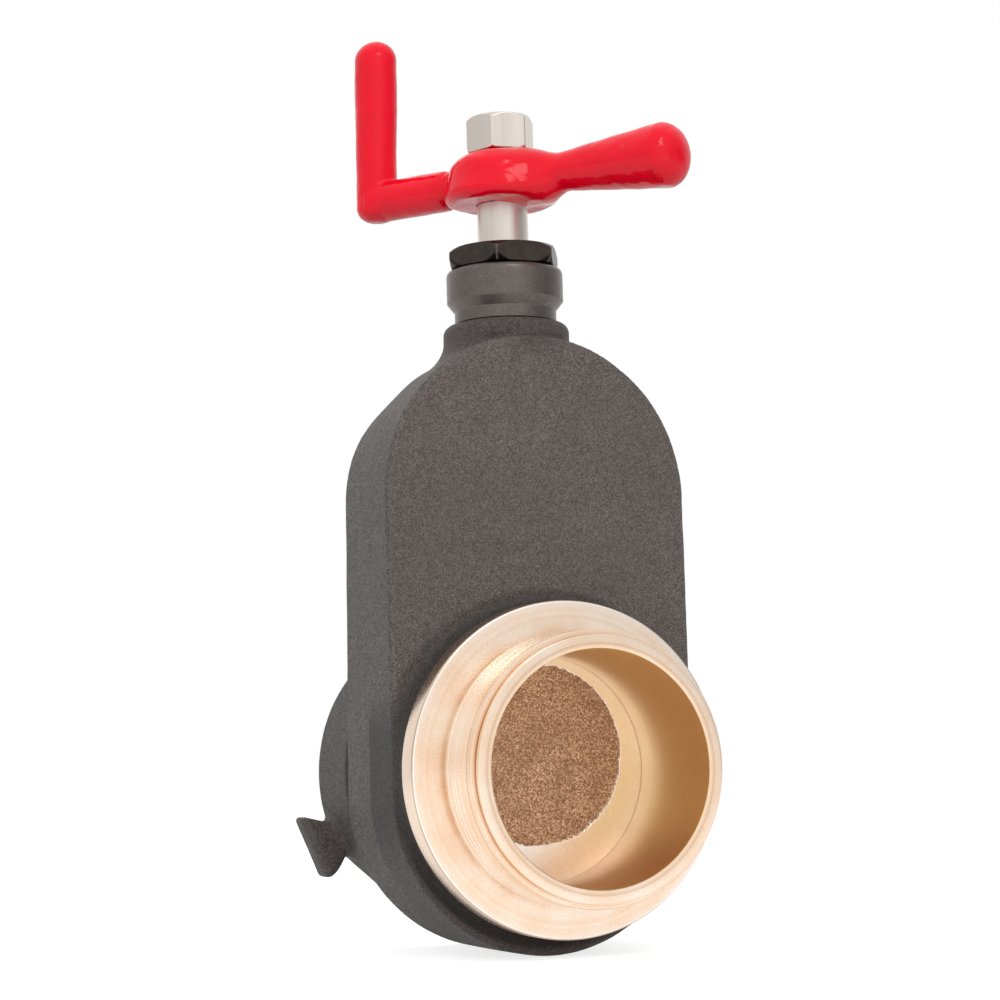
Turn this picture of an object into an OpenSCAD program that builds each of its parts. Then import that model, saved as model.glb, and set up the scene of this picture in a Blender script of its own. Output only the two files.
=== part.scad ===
// Hose gate valve with a crank handle, a flanged outlet nipple and a lugged inlet swivel.
// Millimetres. +Z runs up the stem, the outlet faces -Y, the inlet swivel faces +Y.
// The origin is the centre of the inlet swivel's mouth, on the waterway axis. The gate is drawn closed.

/* [Waterway] */
// Diameter of the clear waterway
bore_d = 65; // [55:0.5:80]
// Radial overlap of the gate on the waterway
gate_overlap = 5.5; // [4:0.1:9]
// Height of the closed gate's centre above the waterway axis
gate_seat_z = 4.2; // [2:0.1:5]
// Rise of the open gate's lower edge above the waterway
open_margin = 0.2; // [0:0.1:2]

/* [Body casting] */
// Wall thickness of the casting around the gate chamber
body_wall = 5.4; // [4.5:0.1:8]
// Wall thickness of the front and back of the casting
face_wall = 5.5; // [4.5:0.1:9]
// Side room between the gate and the chamber
chamber_side_gap = 3.2; // [2:0.1:6]
// Depth of the chamber's lower arc below the waterway axis
sump_depth = 5.8; // [4:0.1:10]
// Height of the chamber's upper arc above the open gate's centre
chamber_head = 7.8; // [7:0.1:14]
// Draft of the casting's sides, in degrees, drawing in from the front face to the back
casting_draft = 1; // [0:0.5:3]
// Rounding of the casting's outer edges
casting_round = 3; // [1:0.1:5]
// Inset of the round front boss from the casting's sides
front_boss_inset = 0.8; // [0.2:0.1:3]
// Height of the front boss above the front face
front_boss_h = 7.2; // [6:0.1:14]
// Fillet where the front boss meets the front face
front_boss_fillet = 4.5; // [2:0.1:6]

/* [Outlet nipple] */
// Wall of the pilot lip
lip_wall = 3.9; // [3:0.1:5]
// Length of the pilot lip
lip_l = 2.5; // [1.5:0.1:4]
// Wall of the barrel that takes the hose coupling
barrel_wall = 5.5; // [5:0.1:9]
// Length of the barrel
barrel_l = 19.1; // [14:0.1:30]
// Radial width of the flange around the barrel
flange_rim = 9.1; // [6:0.1:14]
// Thickness of the flange
flange_t = 7.7; // [5:0.1:12]
// Wall of the shank that screws into the casting
shank_wall = 7; // [6:0.1:8]
// Width of the relief groove at the barrel's root
relief_w = 2.2; // [1.5:0.1:4]
// Depth of the relief groove
relief_depth = 1.1; // [0.5:0.1:2]

/* [Stem and gate] */
// Diameter of the stem
stem_d = 15; // [13:0.5:18]
// Wall of the gate beside the stem's channel
gate_wall = 5.6; // [4:0.1:8]
// Depth of the as-cast faces below the gate's machined lands
gate_recess = 0.5; // [0.3:0.1:1]
// Radial width of the machined land on the gate
gate_land_w = 12.4; // [10:0.1:14]
// Wall of the square gate nut beside the stem
gate_nut_wall = 1.5; // [1.3:0.1:4.5]
// Height of the gate nut
gate_nut_h = 11; // [8:0.1:14]
// Wall of the gate's head around the nut
gate_head_wall = 3.4; // [2.5:0.1:5]
// Roof of the gate's head above the nut
gate_head_roof = 2.5; // [2:0.1:4]
// Radial width of the stem's thrust collar
collar_w = 2.9; // [2:0.1:4]
// Height of the stem's thrust collar
collar_h = 4; // [3:0.1:6]

/* [Bonnet and gland] */
// Height of the top boss above the casting's arch
top_boss_h = 5.7; // [4:0.1:10]
// Wall of the top boss around the bonnet's shank
top_boss_wall = 5.2; // [4:0.1:8]
// Rounding of the top boss's upper edge
top_boss_round = 3; // [1:0.1:4]
// Fillet where the top boss meets the arch
top_boss_fillet = 8; // [4:0.1:10]
// Wall of the bonnet's shank around the thrust collar
bonnet_shank_wall = 2.5; // [2:0.1:4]
// Step from the bonnet's shank out to its neck
bonnet_neck_step = 1.6; // [1:0.1:3]
// Height of the bonnet's neck
bonnet_neck_h = 4; // [3:0.1:8]
// Step from the bonnet's neck out to its ring
bonnet_ring_step = 2.2; // [1:0.1:4]
// Height of the chamfer under the bonnet's ring
bonnet_chamfer_h = 2.8; // [2:0.1:5]
// Height of the bonnet's ring
bonnet_ring_h = 9.6; // [8:0.1:14]
// Rounding of the bonnet ring's upper edge
bonnet_round = 2; // [1:0.1:3]
// Radial width of the stem packing
packing_w = 3.9; // [3:0.1:5]
// Number of packing rings
packing_count = 3; // [2:1:5]
// Height of the gland nut's hexagon
gland_hex_h = 6.2; // [4:0.1:10]
// Radial width of the gland nut's hexagon flats beyond the packing
gland_hex_w = 3.8; // [3:0.1:6]
// Turn of the gland nut's hexagon about the stem
gland_hex_angle = 0; // [-30:1:30]

/* [Handle] */
// Length of stem showing between the gland nut and the handle
stem_show = 13.5; // [6:0.1:30]
// Direction of the handle's lever, from +X
handle_angle = -55; // [-180:1:180]
// Diameter of the handle's hub
hub_d = 34.6; // [30:0.1:44]
// Height of the handle's hub
hub_h = 15.5; // [14:0.1:22]
// Thickness of the dip coating
coat_t = 1.2; // [0.8:0.1:1.6]
// Reach of the lever from the stem
lever_reach = 62.2; // [50:0.1:90]
// Diameter of the lever's waist
lever_waist_d = 11.6; // [9:0.1:13]
// Diameter of the lever's end
lever_end_d = 19; // [14:0.1:24]
// Reach of the crank arm from the stem to the grip
crank_reach = 45.3; // [36:0.1:70]
// Diameter of the crank arm
arm_d = 12.3; // [9:0.1:13]
// Diameter of the upright grip
grip_d = 12.7; // [10:0.1:18]
// Height of the grip above the crank arm's axis
grip_h = 50.9; // [30:0.1:80]
// Width across the flats of the handle nut
handle_nut_w = 18; // [17:0.1:22]
// Height of the handle nut
handle_nut_h = 10.8; // [8:0.1:14]
// Turn of the handle nut about the stem
handle_nut_angle = -7; // [-30:1:30]
// Diameter of the stem's upper thread
top_thread_d = 12; // [8:0.5:12]

/* [Inlet swivel] */
// Wall of the rear spigot that the swivel turns on
spigot_wall = 5.5; // [5:0.1:9]
// Length of the rear spigot
spigot_l = 10; // [9:0.1:16]
// Length of the swivel
swivel_l = 27.2; // [26:0.1:40]
// Wall of the swivel outside its thread
swivel_wall = 7.7; // [6:0.1:12]
// Number of lugs on the swivel
lug_count = 3; // [2:1:4]
// Direction of the first lug, from +X towards +Z
lug_angle = 202.5; // [0:0.5:360]
// Height of the lugs above the swivel
lug_h = 9.4; // [5:0.1:14]
// Width of a lug at its tip
lug_tip_w = 21.2; // [12:0.1:24]
// Width of a lug at its waist
lug_waist_w = 13; // [8:0.1:14]
// Length of a lug along the waterway
lug_l = 10; // [6:0.1:14]
// Diameter of the swivel balls
ball_d = 5; // [4:0.1:5]
// Number of swivel balls
ball_count = 40; // [12:1:44]
// Thickness of the inlet gasket
gasket_t = 3.2; // [2:0.1:5]

/* [Clearances] */
// Radial clearance of running fits
run_gap = 0.08; // [0.02:0.01:0.1]
// Radial clearance of seated pieces
seat_gap = 0.05; // [0.02:0.01:0.1]
// Room between the stem and the gate's channel
channel_gap = 0.9; // [0.4:0.1:1.5]
// Gap between the gate's lands and the seats
gate_gap = 0.1; // [0.05:0.01:0.3]
// Room between the gate's faces and the chamber walls
chamber_gap = 0.7; // [0.5:0.1:2]
// Clearance around loose pieces
loose_gap = 0.2; // [0.15:0.05:0.4]
// Gap between the casting's back and the swivel
swivel_gap = 0.6; // [0.3:0.1:2]
// Gap between the gland nut and the bonnet
gland_gap = 0.3; // [0.2:0.1:3]

/* [Hidden] */
$fn = 96;

// Length added to a cutting shape so that it passes right through a face
cut = 1;

// Gate and chamber
bore_r = bore_d / 2;
stem_r = stem_d / 2;
channel_r = stem_r + channel_gap;
gate_r = bore_r + gate_overlap;
gate_t = 2 * (channel_r + gate_wall);
gate_travel = bore_r + gate_r - gate_seat_z + open_margin;
gate_cast_r = gate_r - gate_land_w;
chamber_r = gate_r + chamber_side_gap;
chamber_t = gate_t + 2 * chamber_gap;
seat_y = gate_t / 2 + gate_gap;

// Outside of the casting
body_r = chamber_r + body_wall;
body_t = chamber_t + 2 * face_wall;
arch_z = gate_seat_z + gate_travel + chamber_head;
body_top_z = arch_z + body_r;
front_boss_r = body_r - front_boss_inset;

// Outlet nipple, along -Y
flange_back_y = body_t / 2 + front_boss_h;
flange_front_y = flange_back_y + flange_t;
barrel_end_y = flange_front_y + barrel_l;
lip_y = barrel_end_y + lip_l;
lip_r = bore_r + lip_wall;
barrel_r = bore_r + barrel_wall;
flange_r = barrel_r + flange_rim;
shank_r = bore_r + shank_wall;
edge_break = 0.6;
o_ring_r = 1.1;
o_ring_room = 0.15;
o_ring_setback = 3.5;
o_ring_y = flange_back_y - o_ring_setback;

// Inlet seat ring
seat_ring_wall = 4;
seat_ring_r = bore_r + seat_ring_wall;
seat_ring_floor = 0.1;
seat_ring_back_y = body_t / 2 - seat_ring_floor;

// Gate head and nut, with the gate closed
gate_nut_w = stem_d + 2 * gate_nut_wall;
gate_nut_drop = 5.2;
gate_nut_z = gate_seat_z + gate_r - gate_nut_drop;
gate_head_top_z = gate_nut_z + gate_nut_h + gate_head_roof;
gate_head_w = gate_nut_w + 2 * (seat_gap + gate_head_wall);
stem_tail = 0.5;
stem_end_z = gate_nut_z - stem_tail;
channel_spare = 1.3;
channel_floor_z = stem_end_z - gate_travel - channel_spare;

// Stack of pieces up the stem, from the top boss
boss_top_z = body_top_z + top_boss_h;
collar_r = stem_r + collar_w;
thrust_room_gap = 0.55;
thrust_room_r = collar_r + thrust_room_gap;
bonnet_shank_r = thrust_room_r + bonnet_shank_wall;
top_boss_r = bonnet_shank_r + top_boss_wall;
top_boss_sink = 1;
top_boss_inset = 1;
washer_t = 1.2;
collar_gap = 0.1;
thrust_room_h = 2 * washer_t + collar_h + 2 * collar_gap;
bonnet_socket_z = boss_top_z - thrust_room_h;
collar_z = bonnet_socket_z + washer_t + collar_gap;
upper_washer_z = collar_z + collar_h + collar_gap;
bonnet_gasket_t = 1;
bonnet_neck_r = bonnet_shank_r + bonnet_neck_step;
bonnet_ring_r = bonnet_neck_r + bonnet_ring_step;
bonnet_neck_top_z = boss_top_z + bonnet_neck_h;
bonnet_ring_z = bonnet_neck_top_z + bonnet_chamfer_h;
bonnet_top_z = bonnet_ring_z + bonnet_ring_h;
packing_r = stem_r + packing_w;
bonnet_web_h = 3.4;
packing_floor_z = boss_top_z + bonnet_web_h;
base_ring_t = 1.5;
follower_t = 2;
gland_shank_l = 2.8;
gland_hex_z = bonnet_top_z + gland_gap;
gland_shank_z = gland_hex_z - gland_shank_l;
follower_z = gland_shank_z - follower_t;
packing_z = packing_floor_z + base_ring_t;
packing_ring_h = (follower_z - packing_z) / packing_count;
gland_flat_r = packing_r + gland_hex_w;
gland_top_z = gland_hex_z + gland_hex_h;

// Handle
hub_z = gland_top_z + stem_show;
hub_r = hub_d / 2;
hub_top_z = hub_z + hub_h;
hub_top_round = 7;
hub_low_round = 3;
hub_spot_r = 9.5;
handle_axis_h = 7.2;
handle_axis_z = hub_z + handle_axis_h;
drive_square_relief = 0.1;
drive_square_w = stem_d / sqrt(2) - drive_square_relief;
lever_waist_l = 4.2;
lever_waist_u = hub_r + lever_waist_l;
lever_end_l = 7.2;
lever_end_u = lever_reach - lever_end_l;
lever_end_round = 7;
nut_chamfer = 1.3;
nut_z = hub_top_z;
square_setback = 0.6;
thread_setback = 0.4;
top_thread_r = top_thread_d / 2;

// Inlet swivel, along +Y
body_back_y = body_t / 2;
spigot_r = bore_r + spigot_wall;
spigot_end_y = body_back_y + spigot_l;
swivel_y = body_back_y + swivel_gap;
inlet_y = swivel_y + swivel_l;
race_setback = 5.4;
race_y = body_back_y + race_setback;
race_r = spigot_r + run_gap / 2;
race_groove_r = ball_d / 2 + loose_gap;
gasket_lip = 1;
gasket_r = spigot_r + gasket_lip;
gasket_room_lead = 0.7;
gasket_room_y = spigot_end_y - gasket_room_lead;
gasket_room_spare = 0.4;
thread_y = spigot_end_y + gasket_t + gasket_room_spare;
thread_step = 0.2;
thread_r = spigot_r + thread_step;
swivel_r = thread_r + swivel_wall;
swivel_round = 2;
lug_setback = 1.2;
lug_y = inlet_y - lug_setback - lug_l;
lug_tip_r = swivel_r + lug_h;
lug_waist_h = 3.1;
lug_waist_r = swivel_r + lug_waist_h;
lug_side_r = 7;
lug_root_sink = 4.9;
lug_root_r = swivel_r - lug_root_sink;
plug_room = 0.95;
plug_r = ball_d / 2 + plug_room;
plug_setback = 0.4;
plug_l = 4.6;
plug_angle = lug_angle - 180 / lug_count;
plug_socket_w = 3;
plug_socket_depth = 2.5;

// Colours of the finishes
coat_grey = [0.31, 0.30, 0.29];
turned_grey = [0.36, 0.34, 0.33];
black_oxide = [0.16, 0.15, 0.15];
brass = [0.93, 0.78, 0.62];
bronze = [0.66, 0.50, 0.38];
stainless = [0.78, 0.76, 0.74];
coating_red = [0.86, 0.07, 0.14];
iron = [0.35, 0.35, 0.36];
rubber = [0.10, 0.10, 0.10];
graphite = [0.22, 0.22, 0.23];

// Moves the valve from its stem axis to the frame of the inlet's mouth
module in_frame() {
    translate([0, -inlet_y, 0]) children();
}

// Turns children drawn around +Z so that their +Z runs towards the outlet
module along_outlet() {
    rotate([90, 0, 0]) children();
}

// Turns children drawn around +Z so that their +Z runs towards the inlet
module along_inlet() {
    rotate([-90, 0, 0]) children();
}

// Turns children drawn around +Z so that their +Z runs along the handle, outwards from the stem
module along_handle(angle) {
    translate([0, 0, handle_axis_z]) rotate([0, 90, angle]) children();
}

// Flat ring around +Z
module ring(outer_r, inner_r, z, h) {
    translate([0, 0, z]) difference() {
        cylinder(r = outer_r, h = h);
        translate([0, 0, -cut]) cylinder(r = inner_r, h = h + 2 * cut);
    }
}

// Hexagon around +Z with chamfered corners at the top, the bottom or both
module hexagon(flats, z, h, chamfer, top, bottom) {
    corner_r = flats / sqrt(3);
    flat_r = flats / 2;
    intersection() {
        translate([0, 0, z]) cylinder(r = corner_r, h = h, $fn = 6);
        translate([0, 0, z]) rotate_extrude() polygon([
            [0, 0],
            [bottom ? flat_r : corner_r + cut, 0],
            [corner_r + cut, bottom ? chamfer * (corner_r + cut - flat_r) / (corner_r - flat_r) : 0],
            [corner_r + cut, h - (top ? chamfer * (corner_r + cut - flat_r) / (corner_r - flat_r) : 0)],
            [top ? flat_r : corner_r + cut, h],
            [0, h]
        ]);
    }
}

// Half section with round corners, out to r at y = -t/2 and drawn in by the draft towards y = t/2
module drafted_half(r, t, round, draft) {
    slope = [cos(draft), sin(draft)];
    reach = r - round / cos(draft);
    front = [reach - round * tan(draft), round - t / 2];
    back = [reach - (t - round) * tan(draft), t / 2 - round];
    polygon([
        [0, -t / 2],
        [front.x, -t / 2],
        front + round * slope,
        back + round * slope,
        [back.x, t / 2],
        [0, t / 2]
    ]);
    translate(front) circle(r = round);
    translate(back) circle(r = round);
}

// Solid of stadium outline in XZ with round edges, thick in Y
module stadium(r, t, low_z, high_z, round, draft) {
    for (z = [low_z, high_z]) translate([0, 0, z]) along_inlet() rotate_extrude() {
        drafted_half(r, t, round, draft);
    }
    translate([0, 0, low_z]) linear_extrude(high_z - low_z) for (side = [0, 1]) {
        mirror([side, 0]) drafted_half(r, t, round, draft);
    }
}

// Plain stadium prism for cuts and limits
module stadium_prism(r, t, low_z, high_z) {
    for (z = [low_z, high_z]) translate([0, t / 2, z]) along_outlet() cylinder(r = r, h = t);
    translate([-r, -t / 2, low_z]) cube([2 * r, t, high_z - low_z]);
}

// Boss around +Z from height 0 to h, with a round top edge and a concave foot
module filleted_boss(r, h, top_round, foot) {
    rotate_extrude() difference() {
        union() {
            square([r, h - top_round]);
            square([r - top_round, h]);
            if (top_round > 0) translate([r - top_round, h - top_round]) circle(r = top_round);
            square([r + foot, foot]);
        }
        translate([r + foot, foot]) circle(r = foot);
    }
}

// Outside of the casting
module casting_outside() {
    stadium(body_r, body_t, -sump_depth, arch_z, casting_round, casting_draft);
    // Front boss, its fillet kept inside the casting's outline
    intersection() {
        translate([0, -body_t / 2, 0]) along_outlet() {
            filleted_boss(front_boss_r, front_boss_h, 0, front_boss_fillet);
        }
        stadium_prism(body_r, 2 * (flange_back_y + cut), -sump_depth, arch_z);
    }
    translate([0, -body_t / 2 + casting_round, 0]) along_outlet() {
        cylinder(r = front_boss_r, h = front_boss_h + casting_round);
    }
    // Top boss, its fillet kept between the front and back faces
    foot_z = body_top_z - top_boss_fillet + top_boss_sink;
    intersection() {
        translate([0, 0, foot_z]) {
            filleted_boss(top_boss_r, boss_top_z - foot_z, top_boss_round, top_boss_fillet);
        }
        translate([-body_r, -body_t / 2 + top_boss_inset, foot_z]) {
            cube([2 * body_r, body_t - 2 * top_boss_inset, boss_top_z - foot_z]);
        }
    }
    translate([0, 0, arch_z]) cylinder(r = top_boss_r, h = foot_z - arch_z + cut);
    translate([0, body_back_y - cut, 0]) along_inlet() cylinder(r = spigot_r, h = spigot_l + cut);
}

module body_casting() {
    color(coat_grey) in_frame() difference() {
        casting_outside();
        stadium_prism(chamber_r, chamber_t, -sump_depth, arch_z);
        // Outlet port
        along_outlet() cylinder(r = shank_r + seat_gap, h = flange_back_y + cut);
        // Inlet port, its seat ring's counterbore and the ball race
        along_inlet() cylinder(r = bore_r, h = spigot_end_y + cut);
        along_inlet() cylinder(r = seat_ring_r + seat_gap, h = seat_ring_back_y);
        translate([0, race_y, 0]) along_inlet() rotate_extrude() {
            translate([race_r, 0]) circle(r = race_groove_r);
        }
        // Stem hole and bonnet socket
        translate([0, 0, arch_z]) cylinder(r = stem_r + run_gap, h = body_r + top_boss_h);
        translate([0, 0, bonnet_socket_z]) cylinder(r = bonnet_shank_r + seat_gap, h = thrust_room_h + cut);
    }
}

module outlet_nipple() {
    groove_r = shank_r - 2 * o_ring_r - o_ring_room;
    groove_w = 2 * (o_ring_r + o_ring_room);
    color(brass) in_frame() along_outlet() difference() {
        rotate_extrude() polygon([
            [bore_r, seat_y],
            [shank_r - edge_break, seat_y],
            [shank_r, seat_y + edge_break],
            [shank_r, flange_back_y],
            [flange_r - edge_break, flange_back_y],
            [flange_r, flange_back_y + edge_break],
            [flange_r, flange_front_y - edge_break],
            [flange_r - edge_break, flange_front_y],
            [barrel_r - relief_depth, flange_front_y],
            [barrel_r - relief_depth, flange_front_y + relief_w - relief_depth],
            [barrel_r, flange_front_y + relief_w],
            [barrel_r, barrel_end_y - edge_break],
            [barrel_r - edge_break, barrel_end_y],
            [lip_r, barrel_end_y],
            [lip_r, lip_y - edge_break],
            [lip_r - edge_break, lip_y],
            [bore_r, lip_y]
        ]);
        ring(shank_r + cut, groove_r, o_ring_y - groove_w / 2, groove_w);
    }
}

module outlet_o_ring() {
    color(rubber) in_frame() along_outlet() rotate_extrude() {
        translate([shank_r - o_ring_r, o_ring_y]) circle(r = o_ring_r);
    }
}

module inlet_seat_ring() {
    color(brass) in_frame() along_inlet() ring(seat_ring_r, bore_r, seat_y, seat_ring_back_y - seat_y);
}

module gate() {
    pocket_w = gate_nut_w + 2 * seat_gap;
    color(bronze) in_frame() difference() {
        union() {
            translate([0, gate_t / 2, gate_seat_z]) along_outlet() cylinder(r = gate_r, h = gate_t);
            translate([-gate_head_w / 2, -gate_t / 2, gate_seat_z]) {
                cube([gate_head_w, gate_t, gate_head_top_z - gate_seat_z]);
            }
        }
        // As-cast faces below the machined lands
        for (side = [-1, 1]) translate([0, side * gate_t / 2, gate_seat_z]) along_outlet() {
            translate([0, 0, -gate_recess]) cylinder(r = gate_cast_r, h = 2 * gate_recess);
        }
        // Channel that the stem enters as the gate rises
        translate([0, 0, channel_floor_z]) {
            cylinder(r = channel_r, h = gate_head_top_z - channel_floor_z + cut);
        }
        // Pocket that the nut slides into from the front
        translate([-pocket_w / 2, -gate_t / 2 - cut, gate_nut_z]) {
            cube([pocket_w, gate_t / 2 + cut + pocket_w / 2, gate_nut_h + seat_gap]);
        }
    }
}

module gate_nut() {
    color(brass) in_frame() difference() {
        translate([-gate_nut_w / 2, -gate_nut_w / 2, gate_nut_z]) {
            cube([gate_nut_w, gate_nut_w, gate_nut_h]);
        }
        translate([0, 0, gate_nut_z - cut]) cylinder(r = stem_r + run_gap, h = gate_nut_h + 2 * cut);
    }
}

module stem() {
    square_top_z = hub_top_z - square_setback;
    thread_top_z = nut_z + handle_nut_h - thread_setback;
    color(stainless) in_frame() {
        translate([0, 0, stem_end_z]) cylinder(r = stem_r, h = hub_z - stem_end_z);
        translate([0, 0, collar_z]) cylinder(r = collar_r, h = collar_h);
        rotate([0, 0, handle_angle]) translate([-drive_square_w / 2, -drive_square_w / 2, hub_z - cut]) {
            cube([drive_square_w, drive_square_w, square_top_z - hub_z + cut]);
        }
        translate([0, 0, square_top_z - cut]) {
            cylinder(r = top_thread_r, h = thread_top_z - square_top_z + cut);
        }
    }
}

module thrust_washer_lower() {
    color(bronze) in_frame() ring(collar_r + loose_gap, stem_r + run_gap, bonnet_socket_z, washer_t);
}

module thrust_washer_upper() {
    color(bronze) in_frame() ring(collar_r + loose_gap, stem_r + run_gap, upper_washer_z, washer_t);
}

module bonnet_gasket() {
    color(rubber) in_frame() {
        ring(bonnet_shank_r, thrust_room_r + loose_gap, bonnet_socket_z, bonnet_gasket_t);
    }
}

module bonnet() {
    shank_z = bonnet_socket_z + bonnet_gasket_t;
    color(turned_grey) in_frame() rotate_extrude() difference() {
        union() {
            polygon([
                [0, shank_z],
                [bonnet_shank_r, shank_z],
                [bonnet_shank_r, boss_top_z],
                [bonnet_neck_r, boss_top_z],
                [bonnet_neck_r, bonnet_neck_top_z],
                [bonnet_ring_r, bonnet_ring_z],
                [bonnet_ring_r, bonnet_top_z - bonnet_round],
                [bonnet_ring_r - bonnet_round, bonnet_top_z - bonnet_round],
                [bonnet_ring_r - bonnet_round, bonnet_top_z],
                [0, bonnet_top_z]
            ]);
            translate([bonnet_ring_r - bonnet_round, bonnet_top_z - bonnet_round]) circle(r = bonnet_round);
        }
        // Thrust room, stem hole and stuffing box
        square([thrust_room_r, boss_top_z + seat_gap]);
        square([stem_r + run_gap, bonnet_top_z + cut]);
        translate([0, packing_floor_z]) square([packing_r + seat_gap, bonnet_top_z]);
    }
}

module packing_base_ring() {
    color(bronze) in_frame() ring(packing_r, stem_r + run_gap, packing_floor_z, base_ring_t);
}

module packing_rings() {
    color(graphite) in_frame() for (i = [0 : packing_count - 1]) {
        ring(packing_r, stem_r + seat_gap, packing_z + i * packing_ring_h, packing_ring_h - seat_gap);
    }
}

module gland_follower() {
    color(brass) in_frame() ring(packing_r, stem_r + run_gap, follower_z, follower_t);
}

module gland_nut() {
    color(black_oxide) in_frame() difference() {
        union() {
            rotate([0, 0, gland_hex_angle]) {
                hexagon(2 * gland_flat_r, gland_hex_z, gland_hex_h, nut_chamfer, true, true);
            }
            translate([0, 0, gland_shank_z]) cylinder(r = packing_r, h = gland_shank_l + cut);
        }
        translate([0, 0, gland_shank_z - cut]) {
            cylinder(r = stem_r + run_gap, h = gland_shank_l + gland_hex_h + 2 * cut);
        }
    }
}

// Outline of the lever around its own axis, drawn from the stem outwards and drawn in by inset
module lever_outline(inset) {
    end_r = lever_end_d / 2 - inset;
    end_u = lever_reach - inset;
    round = lever_end_round - inset;
    polygon([
        [0, 0],
        [lever_waist_d / 2 - inset, 0],
        [lever_waist_d / 2 - inset, lever_waist_u],
        [end_r, lever_end_u],
        [end_r, end_u - round],
        [end_r - round, end_u],
        [0, end_u]
    ]);
    intersection() {
        translate([end_r - round, end_u - round]) circle(r = round);
        square([end_r, end_u]);
    }
}

// Half outline of a bar with round ends, along +Y from the axis
module capsule_outline(r, l) {
    square([r, l]);
    intersection() {
        translate([0, -r]) square([r, l + 2 * r]);
        for (end = [0, l]) translate([0, end]) circle(r = r);
    }
}

// Lever, crank arm and grip, drawn in by inset from the coating's outside
module handle_arms(inset) {
    grip_r = grip_d / 2;
    along_handle(handle_angle) rotate_extrude() lever_outline(inset);
    along_handle(handle_angle + 180) cylinder(r = arm_d / 2 - inset, h = crank_reach);
    rotate([0, 0, handle_angle]) translate([-crank_reach, 0, handle_axis_z]) {
        rotate_extrude() capsule_outline(grip_r - inset, grip_h - grip_r);
    }
}

// Hub drawn in by inset, with round edges
module hub_solid(inset) {
    r = hub_r - inset;
    low_z = hub_z + inset;
    high_z = hub_top_z - inset;
    low_round = hub_low_round - inset;
    top_round = hub_top_round - inset;
    rotate_extrude() {
        translate([0, low_z]) square([r - low_round, low_round]);
        translate([0, low_z + low_round]) square([r, high_z - low_z - low_round - top_round]);
        translate([0, high_z - top_round]) square([r - top_round, top_round]);
        translate([r - low_round, low_z + low_round]) circle(r = low_round);
        translate([r - top_round, high_z - top_round]) circle(r = top_round);
    }
}

// Casting inside the coating, with bare spot faces under the nut and on the stem's shoulder
module handle_casting() {
    hub_solid(coat_t);
    handle_arms(coat_t);
    translate([0, 0, hub_z]) cylinder(r = hub_spot_r, h = hub_h);
}

// Square hole through the hub for the stem
module drive_hole() {
    w = drive_square_w + 2 * seat_gap;
    rotate([0, 0, handle_angle]) translate([-w / 2, -w / 2, hub_z - cut]) cube([w, w, hub_h + 2 * cut]);
}

module handle_core() {
    color(iron) in_frame() difference() {
        handle_casting();
        drive_hole();
        translate([0, 0, hub_z - cut]) cylinder(r = top_thread_r + seat_gap, h = hub_h + 2 * cut);
    }
}

module handle_coating() {
    color(coating_red) in_frame() difference() {
        union() {
            hub_solid(0);
            handle_arms(0);
        }
        handle_casting();
    }
}

module handle_nut() {
    color(stainless) in_frame() difference() {
        rotate([0, 0, handle_nut_angle]) {
            hexagon(handle_nut_w, nut_z, handle_nut_h, nut_chamfer, true, true);
        }
        translate([0, 0, nut_z - cut]) cylinder(r = top_thread_r + seat_gap, h = handle_nut_h + 2 * cut);
    }
}

// Section of one lug, along +X from the swivel's axis
module lug_section() {
    side_v = lug_waist_w / 2 + lug_side_r;
    difference() {
        translate([lug_root_r, -lug_tip_w / 2]) square([lug_tip_r - lug_root_r, lug_tip_w]);
        for (side = [-1, 1]) translate([lug_waist_r, side * side_v]) circle(r = lug_side_r);
        for (side = [-1, 1]) {
            translate([0, side > 0 ? side_v : -side_v - lug_side_r]) square([lug_waist_r, lug_side_r]);
        }
    }
}

module inlet_swivel() {
    color(coat_grey) in_frame() difference() {
        union() {
            along_inlet() rotate_extrude() {
                translate([0, swivel_y + swivel_l / 2]) drafted_half(swivel_r, swivel_l, swivel_round, 0);
            }
            for (i = [0 : lug_count - 1]) rotate([0, -lug_angle - i * 360 / lug_count, 0]) {
                translate([0, lug_y + lug_l, 0]) along_outlet() linear_extrude(lug_l) lug_section();
            }
        }
        // Bearing bore, gasket room and thread
        along_inlet() {
            translate([0, 0, swivel_y - cut]) cylinder(r = spigot_r + run_gap, h = swivel_l);
            translate([0, 0, gasket_room_y]) {
                cylinder(r = gasket_r + loose_gap, h = thread_y - gasket_room_y);
            }
            translate([0, 0, thread_y - cut]) cylinder(r = thread_r, h = inlet_y - thread_y + 2 * cut);
            translate([0, 0, race_y]) rotate_extrude() translate([race_r, 0]) circle(r = race_groove_r);
        }
        rotate([0, -plug_angle, 0]) translate([race_r, race_y, 0]) rotate([0, 90, 0]) {
            cylinder(r = plug_r + seat_gap, h = swivel_r);
        }
    }
}

module swivel_balls() {
    color(stainless) in_frame() for (i = [0 : ball_count - 1]) {
        rotate([0, i * 360 / ball_count, 0]) translate([race_r, race_y, 0]) sphere(d = ball_d);
    }
}

module ball_plug() {
    outer_r = swivel_r - plug_setback;
    color(turned_grey) in_frame() rotate([0, -plug_angle, 0]) translate([outer_r - plug_l, race_y, 0]) {
        rotate([0, 90, 0]) difference() {
            cylinder(r = plug_r, h = plug_l);
            translate([0, 0, plug_l - plug_socket_depth]) {
                cylinder(r = plug_socket_w / sqrt(3), h = plug_socket_depth + cut, $fn = 6);
            }
        }
    }
}

module inlet_gasket() {
    color(rubber) in_frame() along_inlet() ring(gasket_r, bore_r, spigot_end_y, gasket_t);
}

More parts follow.
